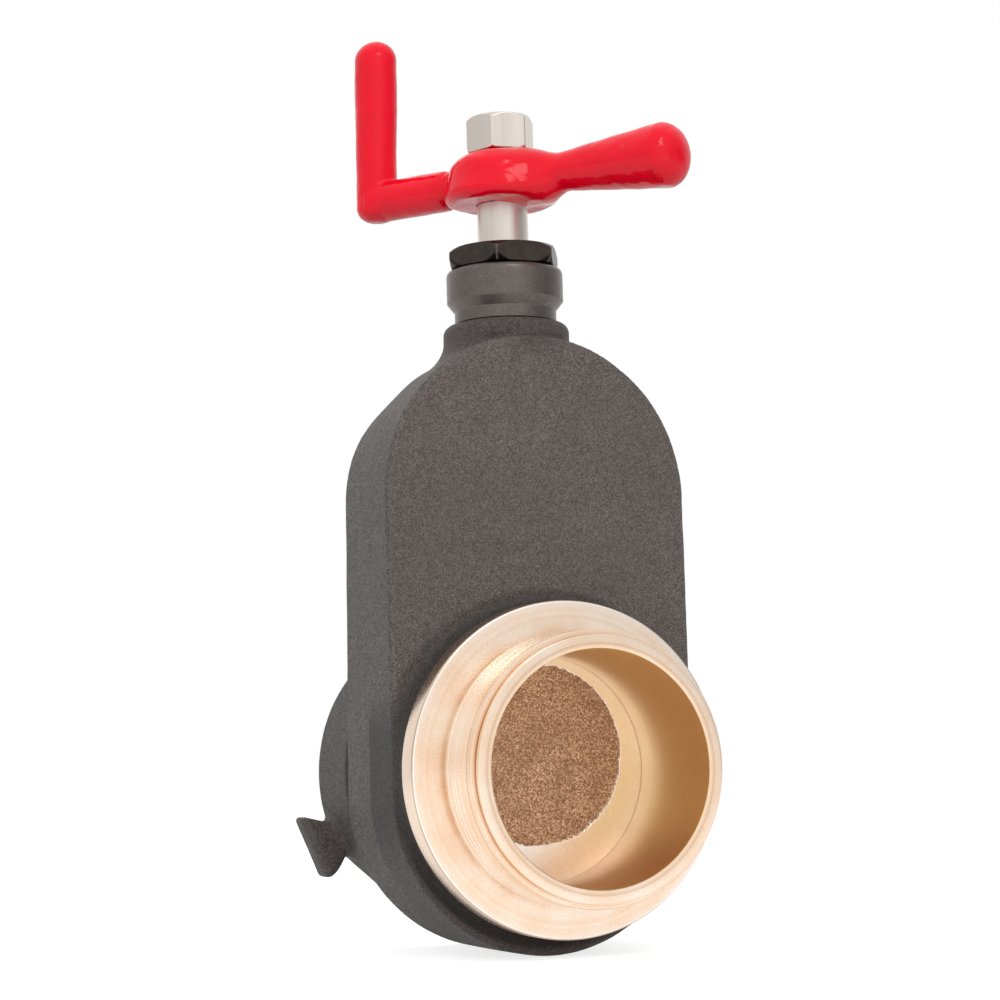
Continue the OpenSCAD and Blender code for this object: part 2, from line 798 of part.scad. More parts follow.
body_casting();
outlet_nipple();
outlet_o_ring();
inlet_seat_ring();
gate();
gate_nut();
stem();
thrust_washer_lower();
thrust_washer_upper();
bonnet();
bonnet_gasket();
packing_base_ring();
packing_rings();
gland_follower();
gland_nut();
handle_core();
handle_coating();
handle_nut();
inlet_swivel();
swivel_balls();
ball_plug();
inlet_gasket();
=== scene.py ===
"""Looks of the hose gate valve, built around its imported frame.

Shapes are worked out in millimetres on the valve's own axes. The stem runs up Z through x = y = 0, and the
waterway runs along Y through x = z = 0, with the outlet towards -Y. Cast, coated and cut pieces are distance
fields turned into meshes, and turned pieces are lathe profiles.
"""
import functools
import itertools
import math

import bpy
import numpy as np
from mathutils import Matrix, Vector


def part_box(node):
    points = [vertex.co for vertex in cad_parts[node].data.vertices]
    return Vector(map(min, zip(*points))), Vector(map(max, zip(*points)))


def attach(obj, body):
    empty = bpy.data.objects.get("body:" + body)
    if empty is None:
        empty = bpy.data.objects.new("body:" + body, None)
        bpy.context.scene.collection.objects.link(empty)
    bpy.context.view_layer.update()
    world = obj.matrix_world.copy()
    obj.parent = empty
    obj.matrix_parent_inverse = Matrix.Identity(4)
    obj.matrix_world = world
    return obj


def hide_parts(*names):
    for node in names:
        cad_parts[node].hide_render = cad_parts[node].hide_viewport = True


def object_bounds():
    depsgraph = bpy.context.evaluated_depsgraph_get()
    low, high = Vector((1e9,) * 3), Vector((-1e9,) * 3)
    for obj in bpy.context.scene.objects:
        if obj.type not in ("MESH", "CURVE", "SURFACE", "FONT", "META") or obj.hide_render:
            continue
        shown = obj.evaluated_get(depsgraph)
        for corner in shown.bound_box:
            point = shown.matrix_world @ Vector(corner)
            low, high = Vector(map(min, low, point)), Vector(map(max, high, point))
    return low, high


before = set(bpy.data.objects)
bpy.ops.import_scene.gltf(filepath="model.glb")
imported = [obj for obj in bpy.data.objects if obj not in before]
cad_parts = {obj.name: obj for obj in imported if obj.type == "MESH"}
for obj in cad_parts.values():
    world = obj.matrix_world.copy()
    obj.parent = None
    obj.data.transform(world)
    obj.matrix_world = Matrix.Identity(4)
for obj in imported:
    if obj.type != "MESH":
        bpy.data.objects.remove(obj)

import openvdb
from mathutils import Matrix, Vector

CAD_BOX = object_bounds()
MM = 0.001
SEED = 20

# The gate is centred on the stem's axis, which places the valve's axes in the frame
VALVE_Y = sum(corner.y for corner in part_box("gate")) / 2 / MM


def node_mm(node):
    """Lowest and highest corner of a CAD node, in millimetres on the valve's axes."""
    shift = Vector((0, VALVE_Y, 0))
    return tuple(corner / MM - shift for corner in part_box(node))


# Sizes that the frame gives
BODY_LOW, BODY_HIGH = node_mm("body_casting")
NIPPLE_LOW, NIPPLE_HIGH = node_mm("outlet_nipple")
SWIVEL_LOW, SWIVEL_HIGH = node_mm("inlet_swivel")
BONNET_LOW, BONNET_HIGH = node_mm("bonnet")
GLAND_LOW, GLAND_HIGH = node_mm("gland_nut")
COAT_LOW, COAT_HIGH = node_mm("handle_coating")
NUT_LOW, NUT_HIGH = node_mm("handle_nut")
STEM_LOW, STEM_HIGH = node_mm("stem")
GATE_MM_LOW, GATE_MM_HIGH = node_mm("gate")

# Sizes that shapes and materials share
BORE_R = 32.5
BARREL_R = 38.0
BARREL_END = 54.2
LIP_R = 36.4
FLANGE_R = NIPPLE_HIGH.x
FLANGE_FRONT = 35.1
# How far joined solids reach into each other
OVERLAP = 1.0


# Distance fields

def length(*parts):
    return np.sqrt(sum(part * part for part in parts))


def turned(a, b, angle):
    """The same place on axes turned by an angle."""
    cosine, sine = math.cos(angle), math.sin(angle)
    return a * cosine + b * sine, b * cosine - a * sine


def fade(value, low, high):
    """0 at low, 1 at high and even between. Low may be the greater one."""
    return np.clip((value - low) / (high - low), 0, 1)


def between(value, low, high):
    """Field of the slab from low to high."""
    return np.maximum(low - value, value - high)


def most(*fields):
    return functools.reduce(np.maximum, fields)


def least(*fields):
    return functools.reduce(np.minimum, fields)


def meet_round(a, b, edge):
    """Intersection of two fields with a round convex edge."""
    return least(-edge, most(a, b)) + length(most(edge + a, 0), most(edge + b, 0))


def join_round(a, b, fillet):
    """Union of two fields with a round concave fillet."""
    return -meet_round(-a, -b, fillet)


def unevenness(size, seed):
    """Smooth random function of place, from -1 to 1, with lumps of the given size in millimetres."""
    cells = 64
    table = np.random.default_rng(seed).uniform(-1, 1, (cells, cells, cells))

    def at(x, y, z):
        whole, share = [], []
        for axis in np.broadcast_arrays(x / size, y / size, z / size):
            floor = np.floor(axis)
            part = axis - floor
            whole.append(floor.astype(int))
            share.append(part * part * (3 - 2 * part))
        total = 0
        for corner in itertools.product((0, 1), repeat=3):
            weight = 1
            for part, side in zip(share, corner):
                weight = weight * (part if side else 1 - part)
            total = total + weight * table[tuple((w + side) % cells for w, side in zip(whole, corner))]
        return total

    return at


def uneven_skin(seed, layers):
    """Fine field of (lump size, depth) layers, each with a seed of its own."""
    parts = [(depth, unevenness(size, seed + i)) for i, (size, depth) in enumerate(layers)]
    return lambda x, y, z: sum(depth * part(x, y, z) for depth, part in parts)


# Meshes

NEWTON_STEPS = 4
LEAST_STEEP = 0.2
TINY = 1e-6
# Most of a profile's side that one rounding takes up, and the steps round it
ROUND_REACH = 0.45
ROUND_STEPS = 5


def new_object(name, data):
    """Object in the scene for a mesh, lamp or camera."""
    made = bpy.data.objects.new(name, data)
    bpy.context.scene.collection.objects.link(made)
    return made


def new_piece(name, vertices, faces, normals):
    """Mesh object from vertices in millimetres on the valve's axes, smooth shaded."""
    places = (vertices + (0, VALVE_Y, 0)) * MM
    mesh = bpy.data.meshes.new(name)
    mesh.from_pydata(places.tolist(), [], faces.tolist(), shade_flat=False)
    mesh.validate()
    mesh.normals_split_custom_set_from_vertices(normals.tolist())
    return new_object(name, mesh)


def slope_of(field, points, reach=0.02):
    """Gradient of a field at points, by central differences."""
    rises = [field(*(points + step).T) - field(*(points - step).T) for step in reach * np.eye(3)]
    return np.stack(rises, 1) / (2 * reach)


def unit(rows):
    """Rows scaled to a length of one."""
    return rows / np.maximum(np.linalg.norm(rows, axis=1), TINY)[:, None]


def field_piece(name, field, low, high, cell, detail=None):
    """Piece whose surface is where the field is zero, meshed in cells of the given size and kept inside its
    box. Detail is a fine field that is added once the mesh exists."""
    low, high = np.asarray(low, float), np.asarray(high, float)
    start = low - 2 * cell
    counts = np.ceil((high + 2 * cell - start) / cell).astype(int) + 1
    values = field(*np.ix_(*(start[i] + cell * np.arange(counts[i]) for i in range(3))))
    grid = openvdb.FloatGrid(cell)
    grid.copyFromArray(np.ascontiguousarray(np.broadcast_to(values, counts), np.float32))
    points, quads = grid.convertToQuads(0.0)
    points = start + cell * np.asarray(points, float)

    def full(x, y, z):
        return field(x, y, z) + (detail(x, y, z) if detail else 0)

    for _ in range(NEWTON_STEPS):
        slope = slope_of(full, points)
        steep = np.maximum((slope * slope).sum(1), LEAST_STEEP)
        move = full(*points.T) / steep
        points -= np.clip(move, -cell / 2, cell / 2)[:, None] * slope
    points = np.clip(points, low, high)
    normals = unit(slope_of(full, points))
    quads = np.asarray(quads, np.int32)
    across = np.cross(points[quads[:, 2]] - points[quads[:, 0]], points[quads[:, 3]] - points[quads[:, 1]])
    if (across * normals[quads[:, 0]]).sum() < 0:
        quads = quads[:, ::-1]
    return new_piece(name, points, quads, normals), points, normals


def mark(piece, name, values):
    """Stores one number per vertex, for a material to read."""
    layer = piece.data.attributes.new(name, "FLOAT", "POINT")
    layer.data.foreach_set("value", np.asarray(values, np.float32))


def rounded_outline(corners):
    """Points of a closed outline through (radius, place, rounding) corners."""
    here, rounding = np.array(corners)[:, :2], np.array(corners)[:, 2]
    before, after = np.roll(here, 1, 0) - here, np.roll(here, -1, 0) - here
    shorter = np.linalg.norm([before, after], axis=2).min(0)
    before, after = unit(before), unit(after)
    half = np.arccos(np.clip((before * after).sum(1), -1, 1)) / 2
    reach = np.minimum(rounding / np.tan(half), ROUND_REACH * shorter)[:, None]
    start, end = here + before * reach, here + after * reach
    t = (np.arange(ROUND_STEPS + 1) / ROUND_STEPS)[:, None]
    curves = start[:, None] * (1 - t) ** 2 + here[:, None] * 2 * t * (1 - t) + end[:, None] * t ** 2
    return curves.reshape(-1, 2)


def lathe_piece(name, corners, axis, segments=224):
    """Piece turned from a closed outline of (radius, place, rounding) corners about the stem or the
    waterway."""
    outline = rounded_outline(corners)
    outline = outline[np.linalg.norm(np.roll(outline, -1, 0) - outline, axis=1) > TINY]
    ahead = unit(np.roll(outline, -1, 0) - outline)
    tangent = unit(ahead + np.roll(ahead, 1, 0))
    area = (outline[:, 0] * np.roll(outline[:, 1], -1) - np.roll(outline[:, 0], -1) * outline[:, 1]).sum()
    normal = np.stack([tangent[:, 1], -tangent[:, 0]], 1) * math.copysign(1, area)
    turn = 2 * math.pi * np.arange(segments) / segments
    cosine, sine = np.cos(turn)[:, None], np.sin(turn)[:, None]

    def around(pair):
        radius, place = pair[:, 0][None, :], pair[:, 1][None, :] + 0 * cosine
        if axis == "stem":
            return np.stack([radius * cosine, radius * sine, place], 2).reshape(-1, 3)
        return np.stack([radius * cosine, -place, radius * sine], 2).reshape(-1, 3)

    count = len(outline)
    here = np.arange(segments * count).reshape(segments, count)
    beside = np.roll(here, -1, 0)
    faces = np.stack([here, beside, np.roll(beside, -1, 1), np.roll(here, -1, 1)], 2).reshape(-1, 4)
    if area < 0:
        faces = faces[:, ::-1]
    return new_piece(name, around(outline), faces, around(normal))


def stands_for(piece, node, body, finish):
    """Puts a new piece in the place of a CAD node."""
    piece.data.materials.append(finish)
    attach(piece, body)
    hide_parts(node)


# Materials

# Span that most of a noise keeps to
NOISE_SPAN = (0.3, 0.7)


class Nodes:
    """Short calls that add nodes to a tree. Each returns the new node's output."""

    def __init__(self, tree):
        self.tree = tree

    def feed(self, socket, value):
        """Sets a socket to a constant, or links it to another node's output."""
        if isinstance(value, bpy.types.NodeSocket):
            self.tree.links.new(value, socket)
        elif isinstance(value, tuple) and len(value) == 3 and len(socket.default_value) == 4:
            socket.default_value = (*value, 1)
        else:
            socket.default_value = value

    def outputs(self, kind, inputs=None, **settings):
        """All outputs of a new node."""
        node = self.tree.nodes.new("ShaderNode" + kind)
        for name, value in settings.items():
            setattr(node, name, value)
        for name, value in (inputs or {}).items():
            self.feed(node.inputs[name], value)
        return node.outputs

    def add(self, kind, inputs=None, output=0, **settings):
        return self.outputs(kind, inputs, **settings)[output]

    def math(self, operation, a, b=0.0, c=0.0):
        return self.add("Math", {0: a, 1: b, 2: c}, operation=operation)

    def times(self, *values):
        return functools.reduce(lambda a, b: self.math("MULTIPLY", a, b), values)

    def weighed(self, *parts):
        """Sum of (value, weight) parts."""
        return functools.reduce(lambda a, b: self.math("ADD", a, b), [self.times(*part) for part in parts])


class Look(Nodes):
    """A material with one surface shader. Lengths are in millimetres unless a call says metres."""

    def __init__(self, name, **sockets):
        self.material = bpy.data.materials.new(name)
        self.material.use_nodes = True
        super().__init__(self.material.node_tree)
        self.set(**sockets)

    def set(self, **sockets):
        """Feeds sockets of the surface shader, named with _ for spaces, and returns the material."""
        shader = self.tree.nodes["Principled BSDF"]
        for socket, value in sockets.items():
            self.feed(shader.inputs[socket.replace("_", " ")], value)
        return self.material

    def place(self, vector=None, seed=0.0):
        """Place on the object, or another vector, shifted by a seed."""
        vector = vector or self.add("TexCoord", output="Object")
        return self.add("VectorMath", {0: vector, 1: (seed, seed, seed)}, operation="ADD")

    def noise(self, size, detail=2.0, vector=None, seed=0.0):
        """Noise from 0 to 1 with features of the given size."""
        inputs = {"Vector": self.place(vector, seed), "Scale": 1 / (size * MM), "Detail": detail}
        return self.add("TexNoise", inputs, "Fac")

    def cells(self, size, seed):
        """Distance to the nearest of random points, and a random colour for each, at the given spacing."""
        inputs = {"Vector": self.place(None, seed), "Scale": 1 / (size * MM)}
        outputs = self.outputs("TexVoronoi", inputs)
        return outputs["Distance"], outputs["Color"]

    def spots(self, spacing, seed, above, inner, outer):
        """Round spots on the random points whose number is above a limit. Inner and outer are their full and
        fading radius in shares of the spacing."""
        spot, chance = self.cells(spacing, seed)
        return self.times(self.math("GREATER_THAN", chance, above), self.ramp(spot, inner, outer, 1.0, 0.0))

    def ramp(self, value, low, high, to_low=0.0, to_high=1.0):
        """Carries value from the span low to high over to another span, and holds it at the ends."""
        inputs = {"Value": value, "From Min": low, "From Max": high, "To Min": to_low, "To Max": to_high}
        return self.add("MapRange", inputs, interpolation_type="SMOOTHSTEP")

    def ramp_mm(self, value, low, high, to_low=0.0, to_high=1.0):
        """Ramp of a value in metres between two places in millimetres."""
        return self.ramp(value, low * MM, high * MM, to_low, to_high)

    def ramp_noise(self, noise, to_low=0.0, to_high=1.0):
        return self.ramp(noise, *NOISE_SPAN, to_low, to_high)

    def line(self, value, place, inner, outer, share):
        """Line where a value in metres comes to a place: full within inner of it and gone at outer."""
        off = self.math("ABSOLUTE", self.math("SUBTRACT", value, place * MM))
        return self.ramp_mm(off, inner, outer, share, 0.0)

    def blend(self, share, a, b):
        """Colour a where share is 0, colour b where it is 1."""
        return self.add("Mix", {"Factor": share, 6: a, 7: b}, 2, data_type="RGBA")

    def attribute(self, name):
        return self.add("Attribute", output="Fac", attribute_name=name)

    def bump(self, height, depth, under=None):
        """Surface normal raised by height times depth, on top of another bump."""
        inputs = {"Height": height, "Distance": depth * MM, "Strength": 1.0}
        if under is not None:
            inputs["Normal"] = under
        return self.add("Bump", inputs)

    def axes(self):
        return self.outputs("SeparateXYZ", {0: self.add("TexCoord", output="Object")})

    def radius_from(self, axis):
        """Distance in metres from the waterway or the stem, and place along it."""
        x, y, z = self.axes()
        across, along = (z, y) if axis == "waterway" else (self.math("SUBTRACT", y, VALVE_Y * MM), z)
        return self.math("SQRT", self.weighed((x, x), (across, across))), along

    def turned_lines(self, axis, spacing, seed=0.0):
        """Fine uneven tool lines of a lathe about an axis, from 0 to 1."""
        radius, along = self.radius_from(axis)
        lines = self.add("CombineXYZ", {0: radius, 1: along, 2: seed})
        return self.add("TexNoise", {"Vector": lines, "Scale": 1 / (spacing * MM), "Detail": 3.0}, "Fac")


def srgb(red, green, blue):
    """Linear colour from eight-bit screen values."""
    return tuple(c / 12.92 if c <= 0.04045 else ((c + 0.055) / 1.055) ** 2.4
                 for c in (red / 255, green / 255, blue / 255))


def shade(colour, share):
    return tuple(share * c for c in colour)


# Grain spacing on the casting's faces and sides, and their darkest and lightest share of the colour
FACE_GRAIN = 0.31
FACE_SHADES = (0.6, 1.95)
SIDE_GRAIN = 0.42
SIDE_SHADES = (0.6, 1.85)
GRAIN_SPAN = (0.2, 1.0)
CAST_ROUGHNESS = (0.5, 0.66)
PIT_DEPTH = 0.3


def casting_look(name, face, side, grain_depth):
    """Dark hard coating on a sand casting: granular faces, smoother and cooler sides, painted shade in the
    hollows, at the seams, on the top boss and beneath the flange, a few pits and specks."""
    look = Look(name, Specular_IOR_Level=0.25, Metallic=0.0)
    smooth = look.attribute("smooth")
    near, grain = look.cells(FACE_GRAIN, seed=1.3)
    far, lump = look.cells(SIDE_GRAIN, seed=3.1)
    coarse = look.noise(2.2, detail=1.0, seed=4.1)
    cloud = look.noise(26.0, seed=7.7)
    tone = look.ramp(look.weighed((grain, 0.85), (coarse, 0.15)), *GRAIN_SPAN)
    faces = look.blend(tone, *(shade(face, share) for share in FACE_SHADES))
    sides = look.blend(look.ramp(lump, *GRAIN_SPAN), *(shade(side, share) for share in SIDE_SHADES))
    colour = look.blend(smooth, faces, sides)
    colour = look.blend(look.ramp_noise(cloud, to_high=0.16), colour, shade(face, 0.6))
    # Painted shade: darker where the mesh marks hollows, seams, the top boss and the flange's shadow
    colour = look.blend(look.times(look.attribute("painted_shade"), 0.75), colour, shade(face, 0.2))
    pit = look.spots(7.5, seed=2.9, above=0.93, inner=0.05, outer=0.085)
    colour = look.blend(pit, colour, shade(face, 0.1))
    speck = look.spots(3.2, seed=5.3, above=0.86, inner=0.04, outer=0.08)
    colour = look.blend(look.times(speck, 0.6), colour, srgb(190, 184, 178))
    grains = look.add("Mix", {"Factor": smooth, 2: near, 3: far})
    rough = look.bump(look.math("SUBTRACT", look.times(coarse, 0.35), grains), grain_depth)
    return look.set(Base_Color=colour, Roughness=look.ramp(tone, 0.25, 0.75, *CAST_ROUGHNESS),
                      Normal=look.bump(look.times(pit, -1.0), PIT_DEPTH, under=rough))


# Height above the top boss over which the painted shade of the seam ends
SEAM_SHADE_SPAN = (0.15, 0.6)
COATED_ROUGHNESS = (0.28, 0.38)


def turned_grey_look(name, colour):
    """Dark hard coating over turned metal, faint tool lines, a few bright specks, painted shade at the seam.
    """
    look = Look(name, Specular_IOR_Level=0.4, Metallic=0.75)
    lines = look.turned_lines("stem", 0.35)
    cloud = look.noise(3.0, detail=3.0, seed=3.0)
    fine = look.noise(0.35, seed=8.0)
    tone = look.ramp_noise(look.weighed((cloud, 0.25), (fine, 0.75)))
    body = look.blend(tone, shade(colour, 0.75), shade(colour, 1.25))
    _, height = look.radius_from("stem")
    # Painted shade: near black up to just above the top boss, where the seam is
    seam_shade = look.ramp_mm(height, *(BODY_HIGH.z + rise for rise in SEAM_SHADE_SPAN), 0.85, 0.0)
    body = look.blend(seam_shade, body, shade(colour, 0.06))
    speck = look.spots(2.4, seed=6.1, above=0.93, inner=0.05, outer=0.11)
    return look.set(Base_Color=look.blend(look.times(speck, 0.75), body, srgb(205, 198, 190)),
                      Roughness=look.ramp_noise(lines, *COATED_ROUGHNESS),
                      Normal=look.bump(fine, 0.02, under=look.bump(lines, 0.012)))


def black_look(name):
    """Blackened nut: near black, painted shade underneath, and a rubbed grey where the coating is thin."""
    look = Look(name, Specular_IOR_Level=0.4, Metallic=0.9)
    fine = look.noise(0.5, detail=3.0, seed=2.0)
    cloud = look.noise(4.0, seed=5.0)
    tone = look.weighed((fine, 0.5), (cloud, 0.5))
    body = look.blend(look.ramp_noise(tone), srgb(60, 54, 51), srgb(76, 69, 65))
    # Painted shade: faces that look down turn near black
    body = look.blend(look.attribute("under"), body, srgb(9, 8, 8))
    worn = look.times(look.attribute("edge"), look.ramp(fine, 0.35, 0.65, 0.2, 0.9), 0.5)
    return look.set(Base_Color=look.blend(worn, body, srgb(160, 152, 145)),
                      Roughness=look.ramp_noise(tone, *COATED_ROUGHNESS), Normal=look.bump(fine, 0.012))


def dusted(look, body, deep):
    """Colour with a few small dark specks of a deep tone."""
    speck = look.spots(6.0, seed=9.1, above=0.9, inner=0.02, outer=0.045)
    return look.blend(look.times(speck, 0.5), body, shade(deep, 0.4))


def metal_look(name, colour, deep, axis, spacing, roughness, depth):
    """Turned bright metal with tool lines and faint cloudy streaks, between two tones of its colour."""
    look = Look(name, Metallic=1.0)
    lines = look.turned_lines(axis, spacing)
    broad = look.turned_lines(axis, spacing * 6, seed=3.0)
    cloud = look.noise(9.0, detail=3.0, seed=1.0)
    fine = look.noise(0.5, seed=4.0)
    tone = look.weighed((cloud, 0.5), (broad, 0.5))
    body = look.blend(look.ramp(tone, 0.36, 0.7), colour, deep)
    return look.set(Base_Color=dusted(look, body, deep),
                      Roughness=look.ramp(look.math("ADD", lines, fine), 0.7, 1.3, *roughness),
                      Normal=look.bump(lines, depth))


# Tarnish with painted shade in the bore: where it ends past the wall, its share deep inside, and the span
# and colour of the painted shade that darkens it towards the bottom
BORE_EDGE = (0.05, 0.4)
DEEP_TARNISH_AND_SHADE = 0.6
SUNK_SPAN = (-30, -10)
SUNK_SHADE = srgb(212, 160, 106)
# Painted highlight: paler barrel, from its end back to the flange
BARREL_HIGHLIGHT = srgb(255, 248, 240)
PALE_SPAN = 9.0
PALE_SHARE = 0.85
# Painted shade in brown in the crease beside the barrel's foot: width and strength
CREASE_W = 5.5
CREASE_SHADE = 0.3
# Painted shade in the last ring and behind the lip
GROOVE_SHADE_PLACES = (52.2, 54.65)
GROOVE_SHADE_W = 0.3
GROOVE_SHADE = 0.7
# Painted reflection on the flange's greyer rim, and round its front edge a painted highlight and a brown
# painted shade, as inset, half width, share and colour
RIM_REFLECTION = srgb(241, 216, 196)
RIM_SPAN = (0.12, 0.04)
FLANGE_HIGHLIGHT_SHADE_LINES = ((0.6, 0.3, 0.8, srgb(255, 251, 246)), (0.2, 0.14, 0.6, srgb(150, 108, 80)))
BRASS_ROUGHNESS = (0.21, 0.31)
BORE_ROUGHER = 0.27


def brass_look(name, light, deep, streak, bore, spacing):
    """Turned brass: tool lines, brown streaks among them, tarnish with painted shade inside the bore, a
    painted highlight on the barrel, and painted shade, highlights and reflection where the lathe left
    corners."""
    look = Look(name, Metallic=1.0)
    lines = look.turned_lines("waterway", spacing)
    broad = look.turned_lines("waterway", spacing * 7, seed=3.0)
    cloud = look.noise(11.0, detail=3.0, seed=1.0)
    fine = look.noise(0.5, seed=4.0)
    tone = look.weighed((cloud, 0.5), (broad, 0.3), (lines, 0.2))
    body = look.blend(look.ramp(tone, 0.36, 0.66), light, deep)
    body = look.blend(look.ramp(broad, 0.58, 0.72, 0.0, 0.45), body, streak)
    radius, along = look.radius_from("waterway")
    front, end = VALVE_Y - FLANGE_FRONT, VALVE_Y - BARREL_END
    # Painted highlight: the barrel turns paler from its end back towards the flange
    ahead = look.times(look.math("LESS_THAN", along, (front - 0.1) * MM),
                         look.math("LESS_THAN", radius, (BARREL_R + 0.3) * MM),
                         look.ramp_mm(along, end, end + PALE_SPAN, 0.0, PALE_SHARE))
    body = look.blend(ahead, body, BARREL_HIGHLIGHT)
    # Tarnish with painted shade inside the bore: full from the mouth to the middle, lighter deep inside,
    # darker lower down
    mouth, deep_end = NIPPLE_LOW.y + VALVE_Y, NIPPLE_HIGH.y + VALVE_Y
    inside = look.times(look.ramp_mm(radius, *(BORE_R + out for out in BORE_EDGE), 1.0, 0.0),
                          look.ramp_mm(along, (mouth + deep_end) / 2, deep_end, 1.0, DEEP_TARNISH_AND_SHADE))
    mottle = look.ramp_noise(look.noise(0.9, detail=3.0, seed=6.0))
    tarnish_and_shade = look.blend(mottle, shade(bore, 0.96), bore)
    tarnish_and_shade = look.blend(look.ramp_mm(look.axes()["Z"], *SUNK_SPAN, 1.0, 0.0), tarnish_and_shade, SUNK_SHADE)
    body = look.blend(inside, body, tarnish_and_shade)
    # Painted shade in brown on the flange beside the barrel's foot
    root = look.times(look.ramp_mm(radius, BARREL_R - 0.5, BARREL_R + CREASE_W, 1.0, 0.0),
                        look.math("GREATER_THAN", radius, (BARREL_R - 1.5) * MM),
                        look.ramp_mm(along, front - 4.5, front - 1.5), look.ramp_noise(cloud, 0.0, CREASE_SHADE))
    body = look.blend(root, body, streak)
    outer = look.math("GREATER_THAN", radius, (LIP_R - 1.0) * MM)
    # Painted shade: dark lines in the last ring and behind the lip
    for place in GROOVE_SHADE_PLACES:
        line = look.times(outer, look.line(along, VALVE_Y - place, GROOVE_SHADE_W / 3, GROOVE_SHADE_W, GROOVE_SHADE))
        body = look.blend(line, body, shade(streak, 0.3))
    # Painted reflection: the flange's rim turns greyer; then a painted highlight and a brown painted shade
    # round its edge
    rim = look.ramp_mm(radius, *(FLANGE_R - inset for inset in RIM_SPAN), 0.0, 0.8)
    body = look.blend(rim, body, RIM_REFLECTION)
    for inset, half, share, colour in FLANGE_HIGHLIGHT_SHADE_LINES:
        body = look.blend(look.line(radius, FLANGE_R - inset, half / 2, half, share), body, colour)
    polish = look.ramp(look.math("ADD", lines, fine), 0.7, 1.3, *BRASS_ROUGHNESS)
    return look.set(Base_Color=dusted(look, body, deep),
                      Roughness=look.math("ADD", polish, look.times(inside, BORE_ROUGHER)),
                      Normal=look.bump(lines, 0.008))


# Share of a streak's length that is left to the noise, which draws it out along the stem
DRAWN = (1.0, 1.0, 0.03)


def drawn_look(name, light, dark):
    """Bright drawn steel with fine streaks along the stem."""
    look = Look(name, Metallic=1.0)
    stretched = look.add("VectorMath", {0: look.add("TexCoord", output="Object"), 1: DRAWN},
                           operation="MULTIPLY")
    streak = look.noise(0.5, 3.0, stretched, seed=2.0)
    broad = look.noise(3.0, 2.0, stretched, seed=5.0)
    tone = look.weighed((streak, 0.3), (broad, 0.7))
    return look.set(Base_Color=look.blend(look.ramp_noise(tone), light, dark),
                      Roughness=look.ramp_noise(streak, 0.28, 0.36), Normal=look.bump(streak, 0.002))


GATE_GRAIN = 0.31
GATE_GRAIN_DEPTH = 0.16
GATE_ROUGHNESS = (0.42, 0.62)
LAND_ROUGHNESS = (0.27, 0.34)


def gate_look(name):
    """Bronze gate: sparkling brown sand-cast face inside a bright machined land."""
    look = Look(name, Metallic=1.0)
    cast = look.attribute("cast")
    grain, tint = look.cells(GATE_GRAIN, seed=1.0)
    fine = look.noise(0.5, detail=1.0, seed=2.0)
    cloud = look.noise(7.0, seed=3.0)
    random = look.add("SeparateColor", {0: tint})
    tone = look.ramp(look.weighed((random, 0.75), (fine, 0.25)), 0.15, 0.95)
    brown = look.blend(tone, srgb(160, 126, 102), srgb(250, 218, 190))
    brown = look.blend(look.ramp(random, 0.84, 0.94), brown, srgb(255, 236, 212))
    brown = look.blend(look.ramp(cloud, 0.35, 0.7, 0.0, 0.25), brown, srgb(150, 112, 86))
    lines = look.noise(0.5, seed=6.0)
    land = look.blend(look.ramp_noise(lines), srgb(255, 250, 242), srgb(255, 245, 232))
    rough = {"Factor": cast, 2: look.ramp_noise(lines, *LAND_ROUGHNESS),
             3: look.ramp_noise(fine, *GATE_ROUGHNESS)}
    return look.set(Base_Color=look.blend(cast, land, brown), Roughness=look.add("Mix", rough),
                      Normal=look.bump(look.times(grain, look.times(cast, -1.0)), GATE_GRAIN_DEPTH))


def coating_look(name):
    """Thick glossy dip coating, with slow waves and a few bubbles that carry a painted pale highlight."""
    look = Look(name, Specular_IOR_Level=0.28)
    wave = look.noise(4.5, seed=1.0)
    cloud = look.noise(14.0, seed=5.0)
    body = look.blend(look.ramp_noise(cloud), srgb(241, 0, 38), srgb(231, 0, 32))
    bubble_and_highlight = look.spots(5.0, seed=3.3, above=0.86, inner=0.04, outer=0.1)
    # Bubbles are raised by a bump and carry a painted pale highlight
    return look.set(Base_Color=look.blend(look.times(bubble_and_highlight, 0.25), body, srgb(245, 120, 120)),
                      Roughness=look.ramp_noise(wave, 0.1, 0.16),
                      Normal=look.bump(bubble_and_highlight, 0.12, under=look.bump(wave, 0.32)))


ROUGHNESS_SPREAD = 0.08


def rough_look(name, dark, light, size, roughness, depth, metallic=0.0):
    """Plain material with a grain of the given size: rubber, packing, bare iron."""
    look = Look(name, Metallic=metallic, Specular_IOR_Level=0.4)
    grain = look.noise(size, detail=3.0, seed=1.0)
    span = (roughness - ROUGHNESS_SPREAD, roughness + ROUGHNESS_SPREAD)
    return look.set(Base_Color=look.blend(look.ramp_noise(grain), dark, light),
                      Roughness=look.ramp_noise(grain, *span), Normal=look.bump(grain, depth))


CASTING = casting_look("casting", srgb(105, 97, 93), srgb(92, 88, 85), grain_depth=0.32)
TURNED = turned_grey_look("turned_grey", srgb(103, 96, 92))
BLACK = black_look("black_oxide")
BRASS = brass_look("brass", srgb(255, 237, 219), srgb(251, 220, 192), srgb(222, 172, 128),
                     srgb(255, 220, 161), spacing=0.16)
BRONZE = metal_look("bronze", srgb(232, 196, 140), srgb(214, 172, 116), "waterway", spacing=0.2,
                      roughness=(0.26, 0.4), depth=0.01)
STAINLESS = drawn_look("stainless", srgb(226, 218, 209), srgb(213, 205, 196))
GATE_BRONZE = gate_look("gate_bronze")
COATING = coating_look("red_coating")
IRON = rough_look("bare_iron", srgb(62, 62, 64), srgb(92, 92, 94), 0.8, 0.55, 0.06, metallic=0.8)
RUBBER = rough_look("rubber", srgb(18, 18, 18), srgb(30, 30, 31), 0.6, 0.6, 0.03)
